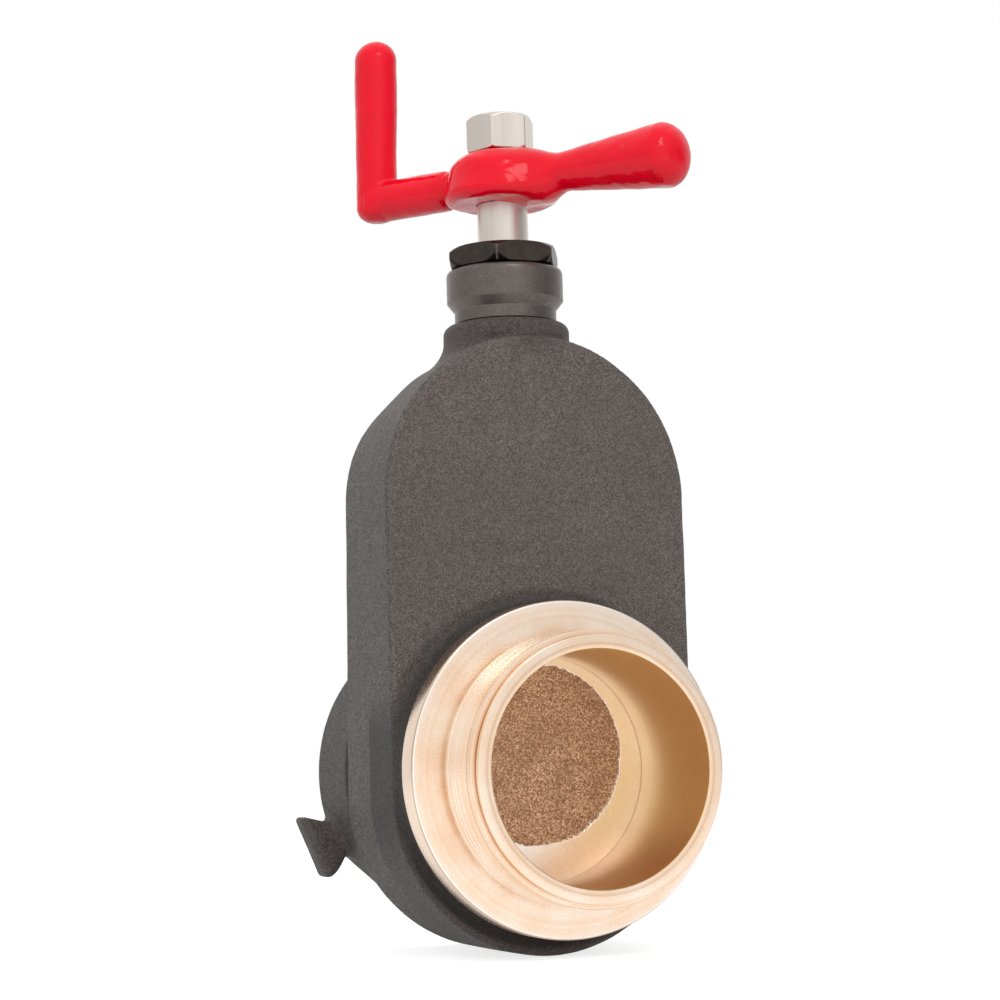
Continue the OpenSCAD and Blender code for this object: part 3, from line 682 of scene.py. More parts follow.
PACKING = rough_look("packing", srgb(38, 38, 40), srgb(64, 64, 67), 0.9, 0.6, 0.12)


# Body casting

BODY_R = BODY_HIGH.x
HALF_T = 20.2
SUMP_Z = BODY_LOW.z + BODY_R
ARCH_Z = 78.5
FRONT_EDGE = 1.8
BACK_EDGE = 1.4
# How far the back draws in from the front at the sump, at the arch's spring and on the arch's shoulders
SUMP_TAPER = 0.3
ARCH_TAPER = 1.8
SHOULDER_TAPER = 1.5
SHOULDER_ANGLE = math.radians(45.5)
SHOULDER_SPREAD = math.radians(15)
FRONT_BOSS_R = BODY_R - 0.8
FRONT_FILLET = 4.5
FRONT_FILLET_LOW = 1.8
FILLET_EASE = 24.0
TOP_BOSS_R = 18.65
TOP_BOSS_EDGE = 3.0
TOP_FILLET = 5.0
TOP_FILLET_FRONT = 0.9
TOP_INSET = 1.0
TOP_FACE_EDGE = 3.0
CHAMBER_R = 41.2
CHAMBER_HALF = 14.7
PORT_R = 39.55
SEAT_R = 36.55
SEAT_FLOOR = 20.1
SPIGOT_R = 38.0
RACE_R = 38.04
RACE_Y = 25.6
RACE_GROOVE = 2.7
STEM_R = 7.5
RUN_GAP = 0.08
SOCKET_R = 13.5
SOCKET_Z = 124.2
BODY_CELL = 1.05
# Lumps and grains of the cast skin, as size and depth
BODY_SKIN = ((9.0, 0.07), (2.2, 0.035))
# Spans over which the material's marks fade: slope of smooth sides, and for the painted shade, room ahead in
# hollows, the top boss's radius and height, the swivel's seam, and the shade beneath the flange
SMOOTH_SPAN = (0.97, 0.77)
HOLLOW_REACH = 5.0
HOLLOW_BLUR = 0.6
HOLLOW_SPAN = (11 / 12, 1 / 2)
BOSS_SPAN_R = (TOP_BOSS_R + 4, TOP_BOSS_R + 1)
BOSS_SPAN_Z = (BODY_HIGH.z - 14, BODY_HIGH.z - 8)
BOSS_SHADE = 0.62
SWIVEL_R = 45.9
SEAM_SPAN_R = (SWIVEL_R + 2.5, SWIVEL_R + 1)
SEAM_SPAN_Y = (HALF_T - 1.2, HALF_T - 0.4)
FLANGE_SPAN = (FLANGE_R + 4.5, FLANGE_R + 0.5)
FLANGE_SHADE = 0.95


def body_field(x, y, z):
    along = np.clip(z, SUMP_Z, ARCH_Z)
    rise = z - along
    reach = length(x, rise)
    lean = SUMP_TAPER + (ARCH_TAPER - SUMP_TAPER) * fade(along, SUMP_Z, ARCH_Z)
    turn = np.arctan2(np.abs(x), rise)
    shoulder = SHOULDER_TAPER * np.exp(-((turn - SHOULDER_ANGLE) / SHOULDER_SPREAD) ** 2)
    side = reach - BODY_R + fade(y, -HALF_T, HALF_T) * (lean + shoulder)
    around = length(x, z)
    boss = most(around - FRONT_BOSS_R, BODY_LOW.y - y)
    fillet = FRONT_FILLET_LOW + (FRONT_FILLET - FRONT_FILLET_LOW) * fade(z, -FILLET_EASE, FILLET_EASE)
    front = join_round(-HALF_T - y, boss, fillet)
    slab = meet_round(meet_round(side, front, FRONT_EDGE), y - HALF_T, BACK_EDGE)
    stem = length(x, y)
    neck = most(meet_round(stem - TOP_BOSS_R, z - BODY_HIGH.z, TOP_BOSS_EDGE), ARCH_Z - z)
    ease = fade(y, -TOP_BOSS_R, 0)
    fillet = TOP_FILLET_FRONT + (TOP_FILLET - TOP_FILLET_FRONT) * ease * ease * (3 - 2 * ease)
    crown = meet_round(join_round(slab, neck, fillet), np.abs(y) - HALF_T + TOP_INSET, TOP_FACE_EDGE)
    spigot = most(around - SPIGOT_R, y - BODY_HIGH.y, -y)
    solid = least(slab, np.where(z > ARCH_Z, crown, slab), spigot)
    chamber = most(reach - CHAMBER_R, np.abs(y) - CHAMBER_HALF)
    port = most(around - PORT_R, y)
    bore = most(around - BORE_R, -y)
    seat = most(around - SEAT_R, -y, y - SEAT_FLOOR)
    race = length(around - RACE_R, y - RACE_Y) - RACE_GROOVE
    stem_hole = most(stem - STEM_R - RUN_GAP, ARCH_Z - z)
    socket = most(stem - SOCKET_R, SOCKET_Z - z)
    return most(solid, -least(chamber, port, bore, seat, race, stem_hole, socket))


def make_body():
    piece, points, normals = field_piece("body_shell", body_field, BODY_LOW, BODY_HIGH, BODY_CELL,
                                         uneven_skin(SEED, BODY_SKIN))
    x, y, z = points.T
    boss = fade(length(x, y), *BOSS_SPAN_R) * fade(z, *BOSS_SPAN_Z)
    mark(piece, "smooth", fade(np.abs(normals[:, 1]), *SMOOTH_SPAN) * (1 - boss))
    # Painted shade in hollows, at the swivel's seam, on the top boss under the bonnet and beneath the flange
    ahead = (points + HOLLOW_REACH * unit(slope_of(body_field, points, HOLLOW_BLUR))).T
    flange = most(length(ahead[0], ahead[2]) - FLANGE_R, ahead[1] - BODY_LOW.y)
    room = least(body_field(*ahead), most(flange, 0))
    painted_shade = fade(room / HOLLOW_REACH, *HOLLOW_SPAN)
    around = length(x, z)
    seam = fade(around, *SEAM_SPAN_R) * fade(y, *SEAM_SPAN_Y)
    beneath = FLANGE_SHADE * fade(around, *FLANGE_SPAN) * (y < 0)
    mark(piece, "painted_shade", most(painted_shade, seam, BOSS_SHADE * boss, beneath))
    stands_for(piece, "body_casting", "valve_body", CASTING)


# Inlet swivel

SWIVEL_EDGE = 2.0
LUG_COUNT = 3
LUG_ANGLE = math.radians(202.5)
LUG_ROOT_R = SWIVEL_R - 6
LUG_TIP_R = 55.1
LUG_EDGE = 2.8
LUG_CORNER = 1.9
# Half width of a lug's full side at its waist and tip, and of its slanted side at the waist with its slope
LUG_WAIST_R = 48.4
LUG_FULL_WAIST = 7.0
LUG_FULL_TIP = 10.5
LUG_FULL_SPAN = (LUG_WAIST_R - 1.5, LUG_TIP_R - 1.5)
LUG_SLANT_WAIST = 5.2
LUG_SLANT = 0.72
LUG_FLAT_TURN = math.radians(26.2)
LUG_FLAT_R = 43.6
LUG_FLAT_EDGE = 1.6
LUG_Y = (36.8, 46.8)
LUG_FILLET = 3.2
BEARING_R = 38.08
GASKET_ROOM_R = 39.2
GASKET_ROOM_Y = 29.5
THREAD_Y = 33.8
THREAD_R = 38.2
THREAD_PITCH = 3.4
THREAD_DEPTH = 1.9
# Share of the pitch, from crest to root, where a groove starts and where it is deep
THREAD_SPAN = (4 / 27, 8 / 9)
MOUTH_R = THREAD_R + THREAD_DEPTH + 0.3
PLUG_R = 3.5
SWIVEL_CELL = 0.62
SWIVEL_SKIN = ((8.0, 0.09), (1.8, 0.04))
SKIN_SPAN_R = (THREAD_R + 3, THREAD_R + 6)
SKIN_SPAN_Y = (SWIVEL_HIGH.y - 0.5, SWIVEL_HIGH.y - 2)
SWIVEL_SMOOTH = (0.8, 2 / 15)
SWIVEL_DARK = 1.3
SWIVEL_SHADE = 3.4
SWIVEL_EVEN_DARK = 0.38
# Steepness that keeps a threaded field close to a distance
THREAD_SLOPE = 0.7


def lug_field(x, y, z, angle):
    """One fishtail lug, drawn along the direction at the given angle from +X towards +Z."""
    out, over = turned(x, z, angle)
    bulge = np.sin(fade(out, *LUG_FULL_SPAN) * math.pi / 2)
    full = over - LUG_FULL_WAIST - (LUG_FULL_TIP - LUG_FULL_WAIST) * bulge
    slanted = (-over - LUG_SLANT_WAIST - LUG_SLANT * (out - LUG_WAIST_R)) / math.hypot(1, LUG_SLANT)
    outline = meet_round(most(full, slanted), out - LUG_TIP_R, LUG_CORNER)
    return most(meet_round(outline, between(y, *LUG_Y), LUG_EDGE), LUG_ROOT_R - out)


def swivel_field(x, y, z):
    around = length(x, z)
    ring = meet_round(around - SWIVEL_R, SWIVEL_LOW.y - y, SWIVEL_EDGE)
    ring = meet_round(ring, y - SWIVEL_HIGH.y, SWIVEL_EDGE)
    angles = [LUG_ANGLE + i * 2 * math.pi / LUG_COUNT for i in range(LUG_COUNT)]
    for angle in angles:
        ring = meet_round(ring, turned(x, z, angle + LUG_FLAT_TURN)[0] - LUG_FLAT_R, LUG_FLAT_EDGE)
    for angle in angles:
        ring = join_round(ring, lug_field(x, y, z, angle), LUG_FILLET)
    ring = most(ring, between(y, SWIVEL_LOW.y, SWIVEL_HIGH.y))
    share = helix_share(x, z, y - THREAD_Y, THREAD_PITCH, 1)
    groove = THREAD_DEPTH * fade(share, *THREAD_SPAN) * fade(y, THREAD_Y, THREAD_Y + THREAD_PITCH)
    thread = most((around - THREAD_R - groove) * THREAD_SLOPE, THREAD_Y - OVERLAP - y)
    mouth = around - MOUTH_R + SWIVEL_HIGH.y - y
    room = most(around - GASKET_ROOM_R, GASKET_ROOM_Y - y, y - THREAD_Y)
    race = length(around - RACE_R, y - RACE_Y) - RACE_GROOVE
    out, over = turned(x, z, LUG_ANGLE - math.pi / LUG_COUNT)
    plug_hole = most(length(over, y - RACE_Y) - PLUG_R, RACE_R - out)
    return most(ring, -least(around - BEARING_R, thread, mouth, room, race, plug_hole))


def make_swivel():
    rough = uneven_skin(SEED + 2, SWIVEL_SKIN)

    def cast_skin(x, y, z):
        return fade(length(x, z), *SKIN_SPAN_R) * fade(y, *SKIN_SPAN_Y) * rough(x, y, z)

    piece, points, normals = field_piece("swivel_shell", swivel_field, SWIVEL_LOW, SWIVEL_HIGH, SWIVEL_CELL,
                                         cast_skin)
    mark(piece, "smooth", fade(np.abs(normals[:, 1]), *SWIVEL_SMOOTH))
    # Painted shade at the seam with the body, fading to an even darkening over the rest of the ring
    seam_shade = SWIVEL_DARK - (points[:, 1] - SWIVEL_LOW.y) / SWIVEL_SHADE
    mark(piece, "painted_shade", np.clip(seam_shade, SWIVEL_EVEN_DARK, 1))
    stands_for(piece, "inlet_swivel", "swivel_assembly", CASTING)


# Handle

HANDLE_ANGLE = math.radians(-55)
HUB_Z = 167.2
HUB_TOP = NUT_LOW.z
HUB_R = 17.3
HUB_TAPER = 0.24
HUB_TOP_EDGE = 5.5
HUB_DOME = 0.75
HUB_LOW_EDGE = 3.0
HANDLE_AXIS_Z = 174.4
LEVER_REACH = 62.2
LEVER_WAIST_U = 21.5
LEVER_WAIST_R = 5.8
LEVER_END_U = 55.2
LEVER_END_R = 9.5
LEVER_CAP = 7.0
LEVER_DROP = 0.6
LEVER_SLOPE = 0.8
CRANK_REACH = 45.3
ARM_R = 6.15
GRIP_R = 6.2
GRIP_SWELL = 0.35
GRIP_LEAN = 0.022
GRIP_CROWN = 0.3
ELBOW_EDGE = 4.6
LEVER_FILLET = 5.0
ARM_FILLET = 0.6
ARM_CREASE_U = -17.6
ARM_CREASE_W = 1.1
ARM_CREASE = 0.7
ELBOW_FILLET = 0.8
COAT_T = 1.2
COAT_LAP = 0.05
NUT_SPOT_R = 8.6
STEM_SPOT_R = 7.6
SQUARE_HALF = 5.3
NUT_BORE_R = 6.05
HANDLE_CELL = 0.5
CORE_CELL = 0.6
# Waves and dimples of the dip coating, as size and depth
DIP_SKIN = ((7.0, 0.14), (2.6, 0.05))


def handle_outside(x, y, z):
    """Outside of the coated handle: hub, tapered lever, crank arm and upright grip."""
    u, v = turned(x, y, HANDLE_ANGLE)
    w = z - HANDLE_AXIS_Z
    side = length(u, v) - HUB_R + HUB_TAPER * most(z - HUB_Z - HUB_LOW_EDGE, 0)
    hub = meet_round(side, HUB_Z - z, HUB_LOW_EDGE)
    hub = meet_round(HUB_DOME * hub, z - HUB_TOP, HUB_TOP_EDGE)
    radius = LEVER_WAIST_R + (LEVER_END_R - LEVER_WAIST_R) * fade(u, LEVER_WAIST_U, LEVER_END_U)
    cap = most(u - LEVER_REACH + LEVER_CAP, 0) / LEVER_CAP
    sunk = w + LEVER_DROP * fade(u, 0, LEVER_REACH)
    lever = most((length(length(v, sunk) / radius, cap) - 1) * radius * LEVER_SLOPE, -u)
    crease = ARM_CREASE * np.exp(-((u - ARM_CREASE_U) / ARM_CREASE_W) ** 2)
    arm = most(length(v, w) - ARM_R + crease, u, -CRANK_REACH - u)
    grip_top = COAT_HIGH.z - HANDLE_AXIS_Z - GRIP_R - GRIP_SWELL - GRIP_CROWN
    swell = GRIP_R + GRIP_SWELL * fade(w, 0, grip_top)
    lean = GRIP_LEAN * most(w, 0)
    grip = length(u + CRANK_REACH - lean, v, most(w - grip_top, 0)) - swell
    crank = join_round(arm, meet_round(grip, -w - ARM_R, ELBOW_EDGE), ELBOW_FILLET)
    return join_round(join_round(hub, lever, LEVER_FILLET), crank, ARM_FILLET)


def spot_faces(x, y, z):
    """Bare seats under the nut and on the stem's shoulder."""
    stem = length(x, y)
    upper = most(stem - NUT_SPOT_R, z - HUB_TOP, HANDLE_AXIS_Z - z)
    lower = most(stem - STEM_SPOT_R, HUB_Z - z, z - HANDLE_AXIS_Z)
    return least(upper, lower)


def core_field(x, y, z):
    u, v = turned(x, y, HANDLE_ANGLE)
    square = most(np.abs(u), np.abs(v)) - SQUARE_HALF
    solid = least(handle_outside(x, y, z) + COAT_T, spot_faces(x, y, z))
    return most(solid, -least(square, length(x, y) - NUT_BORE_R))


def coat_field(x, y, z):
    outside = handle_outside(x, y, z)
    inside = least(outside + COAT_T, spot_faces(x, y, z) - COAT_LAP)
    return most(outside, -inside)


def make_handle():
    dip = uneven_skin(SEED + 4, DIP_SKIN)
    coat = field_piece("handle_coat", coat_field, COAT_LOW, COAT_HIGH, HANDLE_CELL, dip)[0]
    stands_for(coat, "handle_coating", "stem_assembly", COATING)
    core = field_piece("handle_casting", core_field, COAT_LOW, COAT_HIGH, CORE_CELL)[0]
    stands_for(core, "handle_core", "stem_assembly", IRON)


# Nuts and stem

# Hexagons: width over flats, turn, height of the upper chamfer, and radius and height of the lower one
NUT_HEX = (18.0, math.radians(-7), 1.3, 9.6, 1.0)
GLAND_HEX = (30.4, 0.0, 1.8, 15.9, 2.3)
NUT_CELL = 0.2
GLAND_HEX_Z = 147.5
GLAND_SHANK_R = 11.4
GLAND_CELL = 0.27
NUT_EDGE = 0.3
COUNTERSINK = 0.9
# Width of the worn line on the gland nut's corners, and the slope over which painted shade darkens its
# underside
WORN_W = 0.4
UNDERSIDE_SHADE_SPAN = (0, -1 / 3)
STEM_THREAD_LEAD = 9.5
STEM_THREAD_STARTS = 2
STEM_THREAD_TOP = 117.0
STEM_THREAD_RUNOUT = 3.0
STEM_THREAD_DEPTH = 1.3
STEM_THREAD_SPAN = (7 / 24, 17 / 24)
STEM_SLOPE = 0.8
STEM_END_EDGE = 0.8
STEM_CELL = 0.42
COLLAR_R = 10.4
COLLAR_Z = (125.5, 129.5)
COLLAR_EDGE = 0.3
TOP_THREAD_R = 6.0
TOP_THREAD_PITCH = 1.75
TOP_THREAD_DEPTH = 0.95
TIP_CHAMFER = 1.2
TIP_EDGE = 0.2
SQUARE_TOP = 182.1
STEM_SQUARE_HALF = 5.25


def hexagon_field(x, y, z, low, high, flats, turn, chamfer, under_r, under_h):
    """Hexagon prism about the stem, its corners chamfered above from the flats' radius and below from
    under_r."""
    flat_r, corner_r = flats / 2, flats / math.sqrt(3)
    sides = [np.abs(turned(x, y, turn + math.radians(angle))[0]) - flat_r for angle in (30, 90, 150)]
    around = length(x, y)
    slant = math.atan2(chamfer, corner_r - flat_r)
    upper = (around - flat_r) * math.sin(slant) + (z - high) * math.cos(slant)
    slant = math.atan2(under_h, corner_r - under_r)
    lower = (around - under_r) * math.sin(slant) + (low - z) * math.cos(slant)
    ends = meet_round(most(upper, lower), between(z, low, high), NUT_EDGE)
    return functools.reduce(lambda a, b: meet_round(a, b, NUT_EDGE), [*sides, ends])


def handle_nut_field(x, y, z):
    solid = hexagon_field(x, y, z, NUT_LOW.z, NUT_HIGH.z, *NUT_HEX)
    bore = length(x, y) - NUT_BORE_R
    countersink = bore - COUNTERSINK - between(z, NUT_LOW.z, NUT_HIGH.z)
    return most(solid, -least(bore, countersink))


def gland_nut_field(x, y, z):
    solid = hexagon_field(x, y, z, GLAND_HEX_Z, GLAND_HIGH.z, *GLAND_HEX)
    stem = length(x, y)
    shank = most(stem - GLAND_SHANK_R, GLAND_LOW.z - z, z - GLAND_HEX_Z - OVERLAP)
    bore = stem - STEM_R - RUN_GAP
    countersink = stem - STEM_R - COUNTERSINK - (z - GLAND_HIGH.z)
    return most(least(solid, shank), -least(bore, countersink))


def helix_share(x, y, z, lead, starts):
    """Place across a thread's profile about Z, 0 at the crest and 1 at the root."""
    turn = np.arctan2(y, x) / (2 * math.pi)
    return np.abs((z / lead * starts - turn * starts) % 1 - 0.5) * 2


def stem_field(x, y, z):
    around = length(x, y)
    left_hand = helix_share(x, -y, z, STEM_THREAD_LEAD, STEM_THREAD_STARTS)
    runout = fade(z, STEM_THREAD_TOP, STEM_THREAD_TOP - STEM_THREAD_RUNOUT)
    groove = runout * STEM_THREAD_DEPTH * fade(left_hand, *STEM_THREAD_SPAN)
    shaft = meet_round((around - STEM_R + groove) * STEM_SLOPE, STEM_LOW.z - z, STEM_END_EDGE)
    shaft = most(shaft, z - HUB_Z)
    collar = meet_round(around - COLLAR_R, between(z, *COLLAR_Z), COLLAR_EDGE)
    u, v = turned(x, y, HANDLE_ANGLE)
    square = most(np.abs(u), np.abs(v)) - STEM_SQUARE_HALF
    square = most(square, between(z, HUB_Z - OVERLAP, SQUARE_TOP))
    fine = helix_share(x, y, z, TOP_THREAD_PITCH, 1)
    tip = (around - TOP_THREAD_R + TOP_THREAD_DEPTH * fine) * THREAD_SLOPE
    tip = meet_round(tip, (around - TOP_THREAD_R + TIP_CHAMFER + z - STEM_HIGH.z) / math.sqrt(2), TIP_EDGE)
    tip = most(tip, between(z, SQUARE_TOP - OVERLAP, STEM_HIGH.z))
    return least(shaft, collar, square, tip)


def make_nuts_and_stem():
    nut = field_piece("top_nut", handle_nut_field, NUT_LOW, NUT_HIGH, NUT_CELL)[0]
    stands_for(nut, "handle_nut", "stem_assembly", STAINLESS)
    gland, points, normals = field_piece("gland_hexagon", gland_nut_field, GLAND_LOW, GLAND_HIGH, GLAND_CELL)
    flat_r, turn, half_side = GLAND_HEX[0] / 2, GLAND_HEX[1], math.radians(30)
    x, y, _ = points.T
    corner = np.abs((np.arctan2(y, x) - turn + half_side) % (2 * half_side) - half_side) * flat_r
    outer = length(x, y) > flat_r - WORN_W / 2
    mark(gland, "edge", fade(corner, WORN_W, 0) * outer)
    # Painted shade on the faces that look down
    mark(gland, "under", fade(normals[:, 2], *UNDERSIDE_SHADE_SPAN))
    stands_for(gland, "gland_nut", "valve_body", BLACK)
    stem = field_piece("stem_bar", stem_field, STEM_LOW, STEM_HIGH, STEM_CELL)[0]
    stands_for(stem, "stem", "stem_assembly", STAINLESS)


# Gate

GATE_R = 38.0
GATE_Z = 4.2
GATE_HALF = 14.0
GATE_EDGE = 0.5
CAST_R = 25.6
CAST_DEPTH = 0.4
CAST_SPAN_Y = (GATE_HALF - 2, GATE_HALF - 1)
# Lumps that make the cast face's edge ragged and its depth uneven, as size and depth
EDGE_LUMPS = ((1.1, 0.35), (4.0, 0.25))
FACE_LUMPS = ((4.0, 0.06), (0.8, 0.1))
EDGE_BLUR = 0.25
HEAD_HALF = 12.45
CHANNEL_R = 8.4
CHANNEL_FLOOR = -31.3
POCKET_HALF = 9.05
POCKET_Z = (37.0, 48.05)
GATE_CELL = 0.56


def gate_field(x, y, z):
    disc = length(x, z - GATE_Z) - GATE_R
    head = most(np.abs(x) - HEAD_HALF, GATE_Z - z, z - GATE_MM_HIGH.z)
    solid = meet_round(least(disc, head), np.abs(y) - GATE_HALF, GATE_EDGE)
    channel = most(length(x, y) - CHANNEL_R, CHANNEL_FLOOR - z)
    pocket = most(np.abs(x) - POCKET_HALF, between(z, *POCKET_Z), y - POCKET_HALF)
    return most(solid, -least(channel, pocket))


def make_gate():
    ragged, uneven = uneven_skin(SEED + 6, EDGE_LUMPS), uneven_skin(SEED + 7, FACE_LUMPS)

    def cast_share(x, y, z):
        """1 on the as-cast faces inside their ragged edge, 0 on the machined lands."""
        edge = CAST_R + ragged(x, y, z)
        share = fade(length(x, z - GATE_Z), edge + EDGE_BLUR, edge - EDGE_BLUR)
        return share * fade(np.abs(y), *CAST_SPAN_Y)

    def cast_skin(x, y, z):
        return cast_share(x, y, z) * (CAST_DEPTH + uneven(x, y, z))

    piece, points, _ = field_piece("gate_disc", gate_field, GATE_MM_LOW, GATE_MM_HIGH, GATE_CELL, cast_skin)
    mark(piece, "cast", fade(cast_share(*points.T), 0, 1 / 8))
    stands_for(piece, "gate", "gate_assembly", GATE_BRONZE)


# Turned pieces

SHANK_R = 39.5
SEAT_Y = -NIPPLE_HIGH.y
LIP_Y = -NIPPLE_LOW.y
FLANGE_BACK = -BODY_LOW.y
RELIEF_W = 2.2
RELIEF_DEPTH = 1.1
O_RING_LOW = 22.65
O_RING_HIGH = 25.15
O_RING_FLOOR = 37.15
# Shallow rings on the barrel, as place and depth
BARREL_RINGS = ((38.9, 0.32), (41.9, 0.14), (44.1, 0.2), (46.9, 0.13), (52.2, 0.3))
RING_HALF = 0.25
BARREL_CHAMFER = 0.35
LIP_UNDERCUT = 0.45


def make_nipple():
    rings = []
    for place, depth in BARREL_RINGS:
        rings += [(BARREL_R, place - RING_HALF, 0.05), (BARREL_R - depth, place, 0.08),
                  (BARREL_R, place + RING_HALF, 0.05)]
    corners = [
        (BORE_R, SEAT_Y, 0.3), (SHANK_R, SEAT_Y, 0.6), (SHANK_R, O_RING_LOW, 0.15),
        (O_RING_FLOOR, O_RING_LOW, 0.2), (O_RING_FLOOR, O_RING_HIGH, 0.2), (SHANK_R, O_RING_HIGH, 0.15),
        (SHANK_R, FLANGE_BACK, 0.1), (FLANGE_R, FLANGE_BACK, 0.6), (FLANGE_R, FLANGE_FRONT, 0.75),
        (BARREL_R - RELIEF_DEPTH, FLANGE_FRONT, 0.5),
        (BARREL_R - RELIEF_DEPTH, FLANGE_FRONT + RELIEF_W - RELIEF_DEPTH, 0.3),
        (BARREL_R, FLANGE_FRONT + RELIEF_W, 0.2),
        *rings,
        (BARREL_R, BARREL_END - BARREL_CHAMFER, 0.08), (BARREL_R - BARREL_CHAMFER, BARREL_END, 0.08),
        (LIP_R - LIP_UNDERCUT, BARREL_END, 0.1), (LIP_R - LIP_UNDERCUT, BARREL_END + LIP_UNDERCUT, 0.1),
        (LIP_R, BARREL_END + 2 * LIP_UNDERCUT, 0.08), (LIP_R, LIP_Y, 0.4), (BORE_R, LIP_Y, 0.35),
    ]
    piece = lathe_piece("nipple", corners, "waterway", segments=288)
    stands_for(piece, "outlet_nipple", "valve_body", BRASS)


BONNET_SHANK_R = 13.45
NECK_R = 15.05
RING_R = BONNET_HIGH.x
BOSS_TOP = BODY_HIGH.z
NECK_TOP = 134.8
RING_LOW = 137.6
RING_EDGE = 2.0
STEM_HOLE_R = STEM_R + RUN_GAP
THRUST_ROOM_R = 10.95
THRUST_ROOM_TOP = BOSS_TOP + 0.05
PACKING_R = 11.45
PACKING_FLOOR = 134.2
SEAM_DEPTH = 0.6
SEAM_H = 0.4


def make_bonnet():
    corners = [
        (THRUST_ROOM_R, BONNET_LOW.z, 0.2), (BONNET_SHANK_R, BONNET_LOW.z, 0.4),
        (BONNET_SHANK_R, BOSS_TOP, 0.1), (NECK_R - SEAM_DEPTH, BOSS_TOP, 0.1),
        (NECK_R - SEAM_DEPTH, BOSS_TOP + SEAM_H, 0.1), (NECK_R, BOSS_TOP + SEAM_H, 0.2),
        (NECK_R, NECK_TOP, 0.6), (RING_R, RING_LOW, 0.5), (RING_R, BONNET_HIGH.z, RING_EDGE),
        (PACKING_R, BONNET_HIGH.z, 0.4), (PACKING_R, PACKING_FLOOR, 0.2), (STEM_HOLE_R, PACKING_FLOOR, 0.2),
        (STEM_HOLE_R, THRUST_ROOM_TOP, 0.2), (THRUST_ROOM_R, THRUST_ROOM_TOP, 0.2),
    ]
    piece = lathe_piece("bonnet_ring", corners, "stem")
    stands_for(piece, "bonnet", "valve_body", TURNED)


def dress_cad_nodes():
    """Finishes for the CAD pieces that stay as they are."""
    finishes = {
        BRONZE: ["inlet_seat_ring", "gate_nut", "thrust_washer_lower", "thrust_washer_upper",
                 "packing_base_ring", "gland_follower"],
        RUBBER: ["outlet_o_ring", "bonnet_gasket", "inlet_gasket"],
        PACKING: ["packing_rings"],
        STAINLESS: ["swivel_balls"],
        TURNED: ["ball_plug"],
    }
    for finish, nodes in finishes.items():
        for node in nodes:
            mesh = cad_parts[node].data
            mesh.materials.clear()
            mesh.materials.append(finish)


# Stage, light and camera

FLOOR_HALF = 4.0
FLOOR_GAP = 0.0003
FLOOR_PAINT = (0.62, 0.62, 0.62)
WHITE = (1.0, 1.0, 1.0)
# Light that the floor adds to its paint in what the camera, gloss and glass show of it
FLOOR_GLOW = {"Is Camera Ray": 0.76, "Is Glossy Ray": 0.5, "Is Transmission Ray": 0.76}
# Even light from all round, and how much dimmer the studio's sides look in reflections
EVEN_LIGHT = 0.5
LEFT_DIM = 0.3
RIGHT_DIM = 0.68
DIM_POWER = 4.0
# Camera that fits the photograph, as a place in the frame in metres and three angles
CAMERA_PLACE = Vector((-0.28822, -0.71674, 0.00562))
CAMERA_YAW = math.radians(23.116)
CAMERA_PITCH = math.radians(5.811)
CAMERA_ROLL = math.radians(-1.770)
SENSOR = 36.0
FRAME_SIDE = 1000
FOCAL_PIXELS = 2486.5
CENTRE_PIXEL = (502.6, 497.5)
# Lamps, as name, place from the middle of the valve, width, height, watts and whether gloss mirrors them
LAMPS = (
    ("front", (-0.15, -1.22, 0.45), 1.2, 1.2, 8.7, False),
    ("side", (-1.1, 0.35, 0.5), 1.2, 1.2, 5.0, False),
    ("top", (0.1, 0.1, 1.2), 1.2, 1.2, 3.5, False),
    ("highlight", (-0.05, -1.0, 0.75), 0.4, 0.28, 1.25, True),
)


def make_floor():
    """Pale floor just under the valve, which keeps its shadow."""
    low = CAD_BOX[0].z - FLOOR_GAP
    corners = [(x * FLOOR_HALF, y * FLOOR_HALF, low) for x, y in ((-1, -1), (1, -1), (1, 1), (-1, 1))]
    mesh = bpy.data.meshes.new("floor")
    mesh.from_pydata(corners, [], [(0, 1, 2, 3)])
    nodes = Look("floor_paint")
    nodes.tree.nodes.remove(nodes.tree.nodes["Principled BSDF"])
    rays = nodes.outputs("LightPath")
    strength = 0.0
    for name, share in FLOOR_GLOW.items():
        strength = nodes.math("MULTIPLY_ADD", rays[name], share, strength)
    paint = nodes.add("BsdfDiffuse", {"Color": FLOOR_PAINT})
    glow = nodes.add("Emission", {"Color": WHITE, "Strength": strength})
    both = nodes.add("AddShader", {0: paint, 1: glow})
    nodes.feed(nodes.tree.nodes["Material Output"].inputs["Surface"], both)
    mesh.materials.append(nodes.material)
    floor = new_object("floor", mesh)


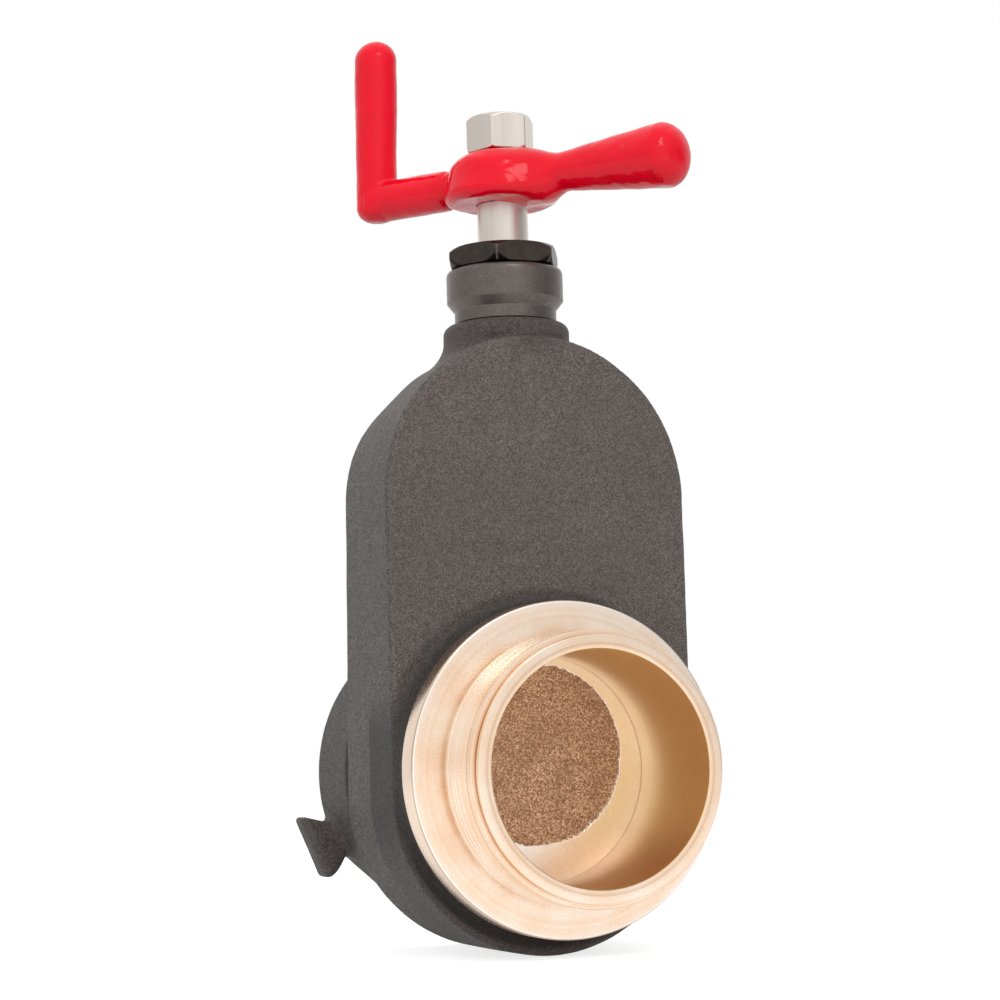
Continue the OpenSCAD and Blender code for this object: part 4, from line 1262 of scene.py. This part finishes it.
def make_world():
    """White surround as it is seen, dimmer beside the object in reflections, and a softer light on it."""
    world = bpy.data.worlds.new("studio")
    bpy.context.scene.world = world
    world.use_nodes = True
    nodes = Nodes(world.node_tree)
    way = nodes.add("TexCoord", output="Generated")
    right = (math.cos(CAMERA_YAW), -math.sin(CAMERA_YAW), 0)
    beside = nodes.add("VectorMath", {0: way, 1: right}, "Value", operation="DOT_PRODUCT")
    depth = nodes.math("ADD", nodes.times(beside, (RIGHT_DIM - LEFT_DIM) / 2), (RIGHT_DIM + LEFT_DIM) / 2)
    dim = nodes.times(nodes.math("POWER", beside, DIM_POWER), depth)
    rays = nodes.outputs("LightPath")
    shown = nodes.math("MAXIMUM", rays["Is Camera Ray"], rays["Is Transmission Ray"])
    light = nodes.math("ADD", nodes.times(rays["Is Glossy Ray"], 1 - EVEN_LIGHT), EVEN_LIGHT)
    light = nodes.times(light, nodes.math("SUBTRACT", 1.0, dim))
    background = world.node_tree.nodes["Background"].inputs
    nodes.feed(background["Color"], WHITE)
    nodes.feed(background["Strength"], nodes.math("MAXIMUM", light, shown))


def make_lights():
    """Three large soft lamps that metal doesn't mirror, and a small one for the highlights."""
    middle = (CAD_BOX[0] + CAD_BOX[1]) / 2
    for name, place, width, height, watts, in_gloss in LAMPS:
        data = bpy.data.lights.new(name, "AREA")
        data.shape = "RECTANGLE"
        data.size, data.size_y, data.energy = width, height, watts
        lamp = new_object(name, data)
        lamp.location = middle + Vector(place)
        lamp.rotation_euler = (middle - lamp.location).to_track_quat("-Z", "Y").to_euler()
        lamp.visible_glossy = in_gloss


def make_camera():
    data = bpy.data.cameras.new("camera")
    data.sensor_width = SENSOR
    data.lens = FOCAL_PIXELS / FRAME_SIDE * SENSOR
    data.shift_x = (FRAME_SIDE / 2 - CENTRE_PIXEL[0]) / FRAME_SIDE
    data.shift_y = (CENTRE_PIXEL[1] - FRAME_SIDE / 2) / FRAME_SIDE
    camera = new_object("camera", data)
    placed = Matrix.Translation(CAMERA_PLACE)
    for angle, axis in ((-CAMERA_YAW, "Z"), (math.pi / 2 + CAMERA_PITCH, "X"), (CAMERA_ROLL, "Z")):
        placed = placed @ Matrix.Rotation(angle, 4, axis)
    camera.matrix_world = placed
    bpy.context.scene.camera = camera


make_camera()
make_floor()
make_world()
make_lights()
make_body()
make_swivel()
make_handle()
make_nuts_and_stem()
make_gate()
make_nipple()
make_bonnet()
dress_cad_nodes()

bpy.context.scene.view_settings.view_transform = "Standard"
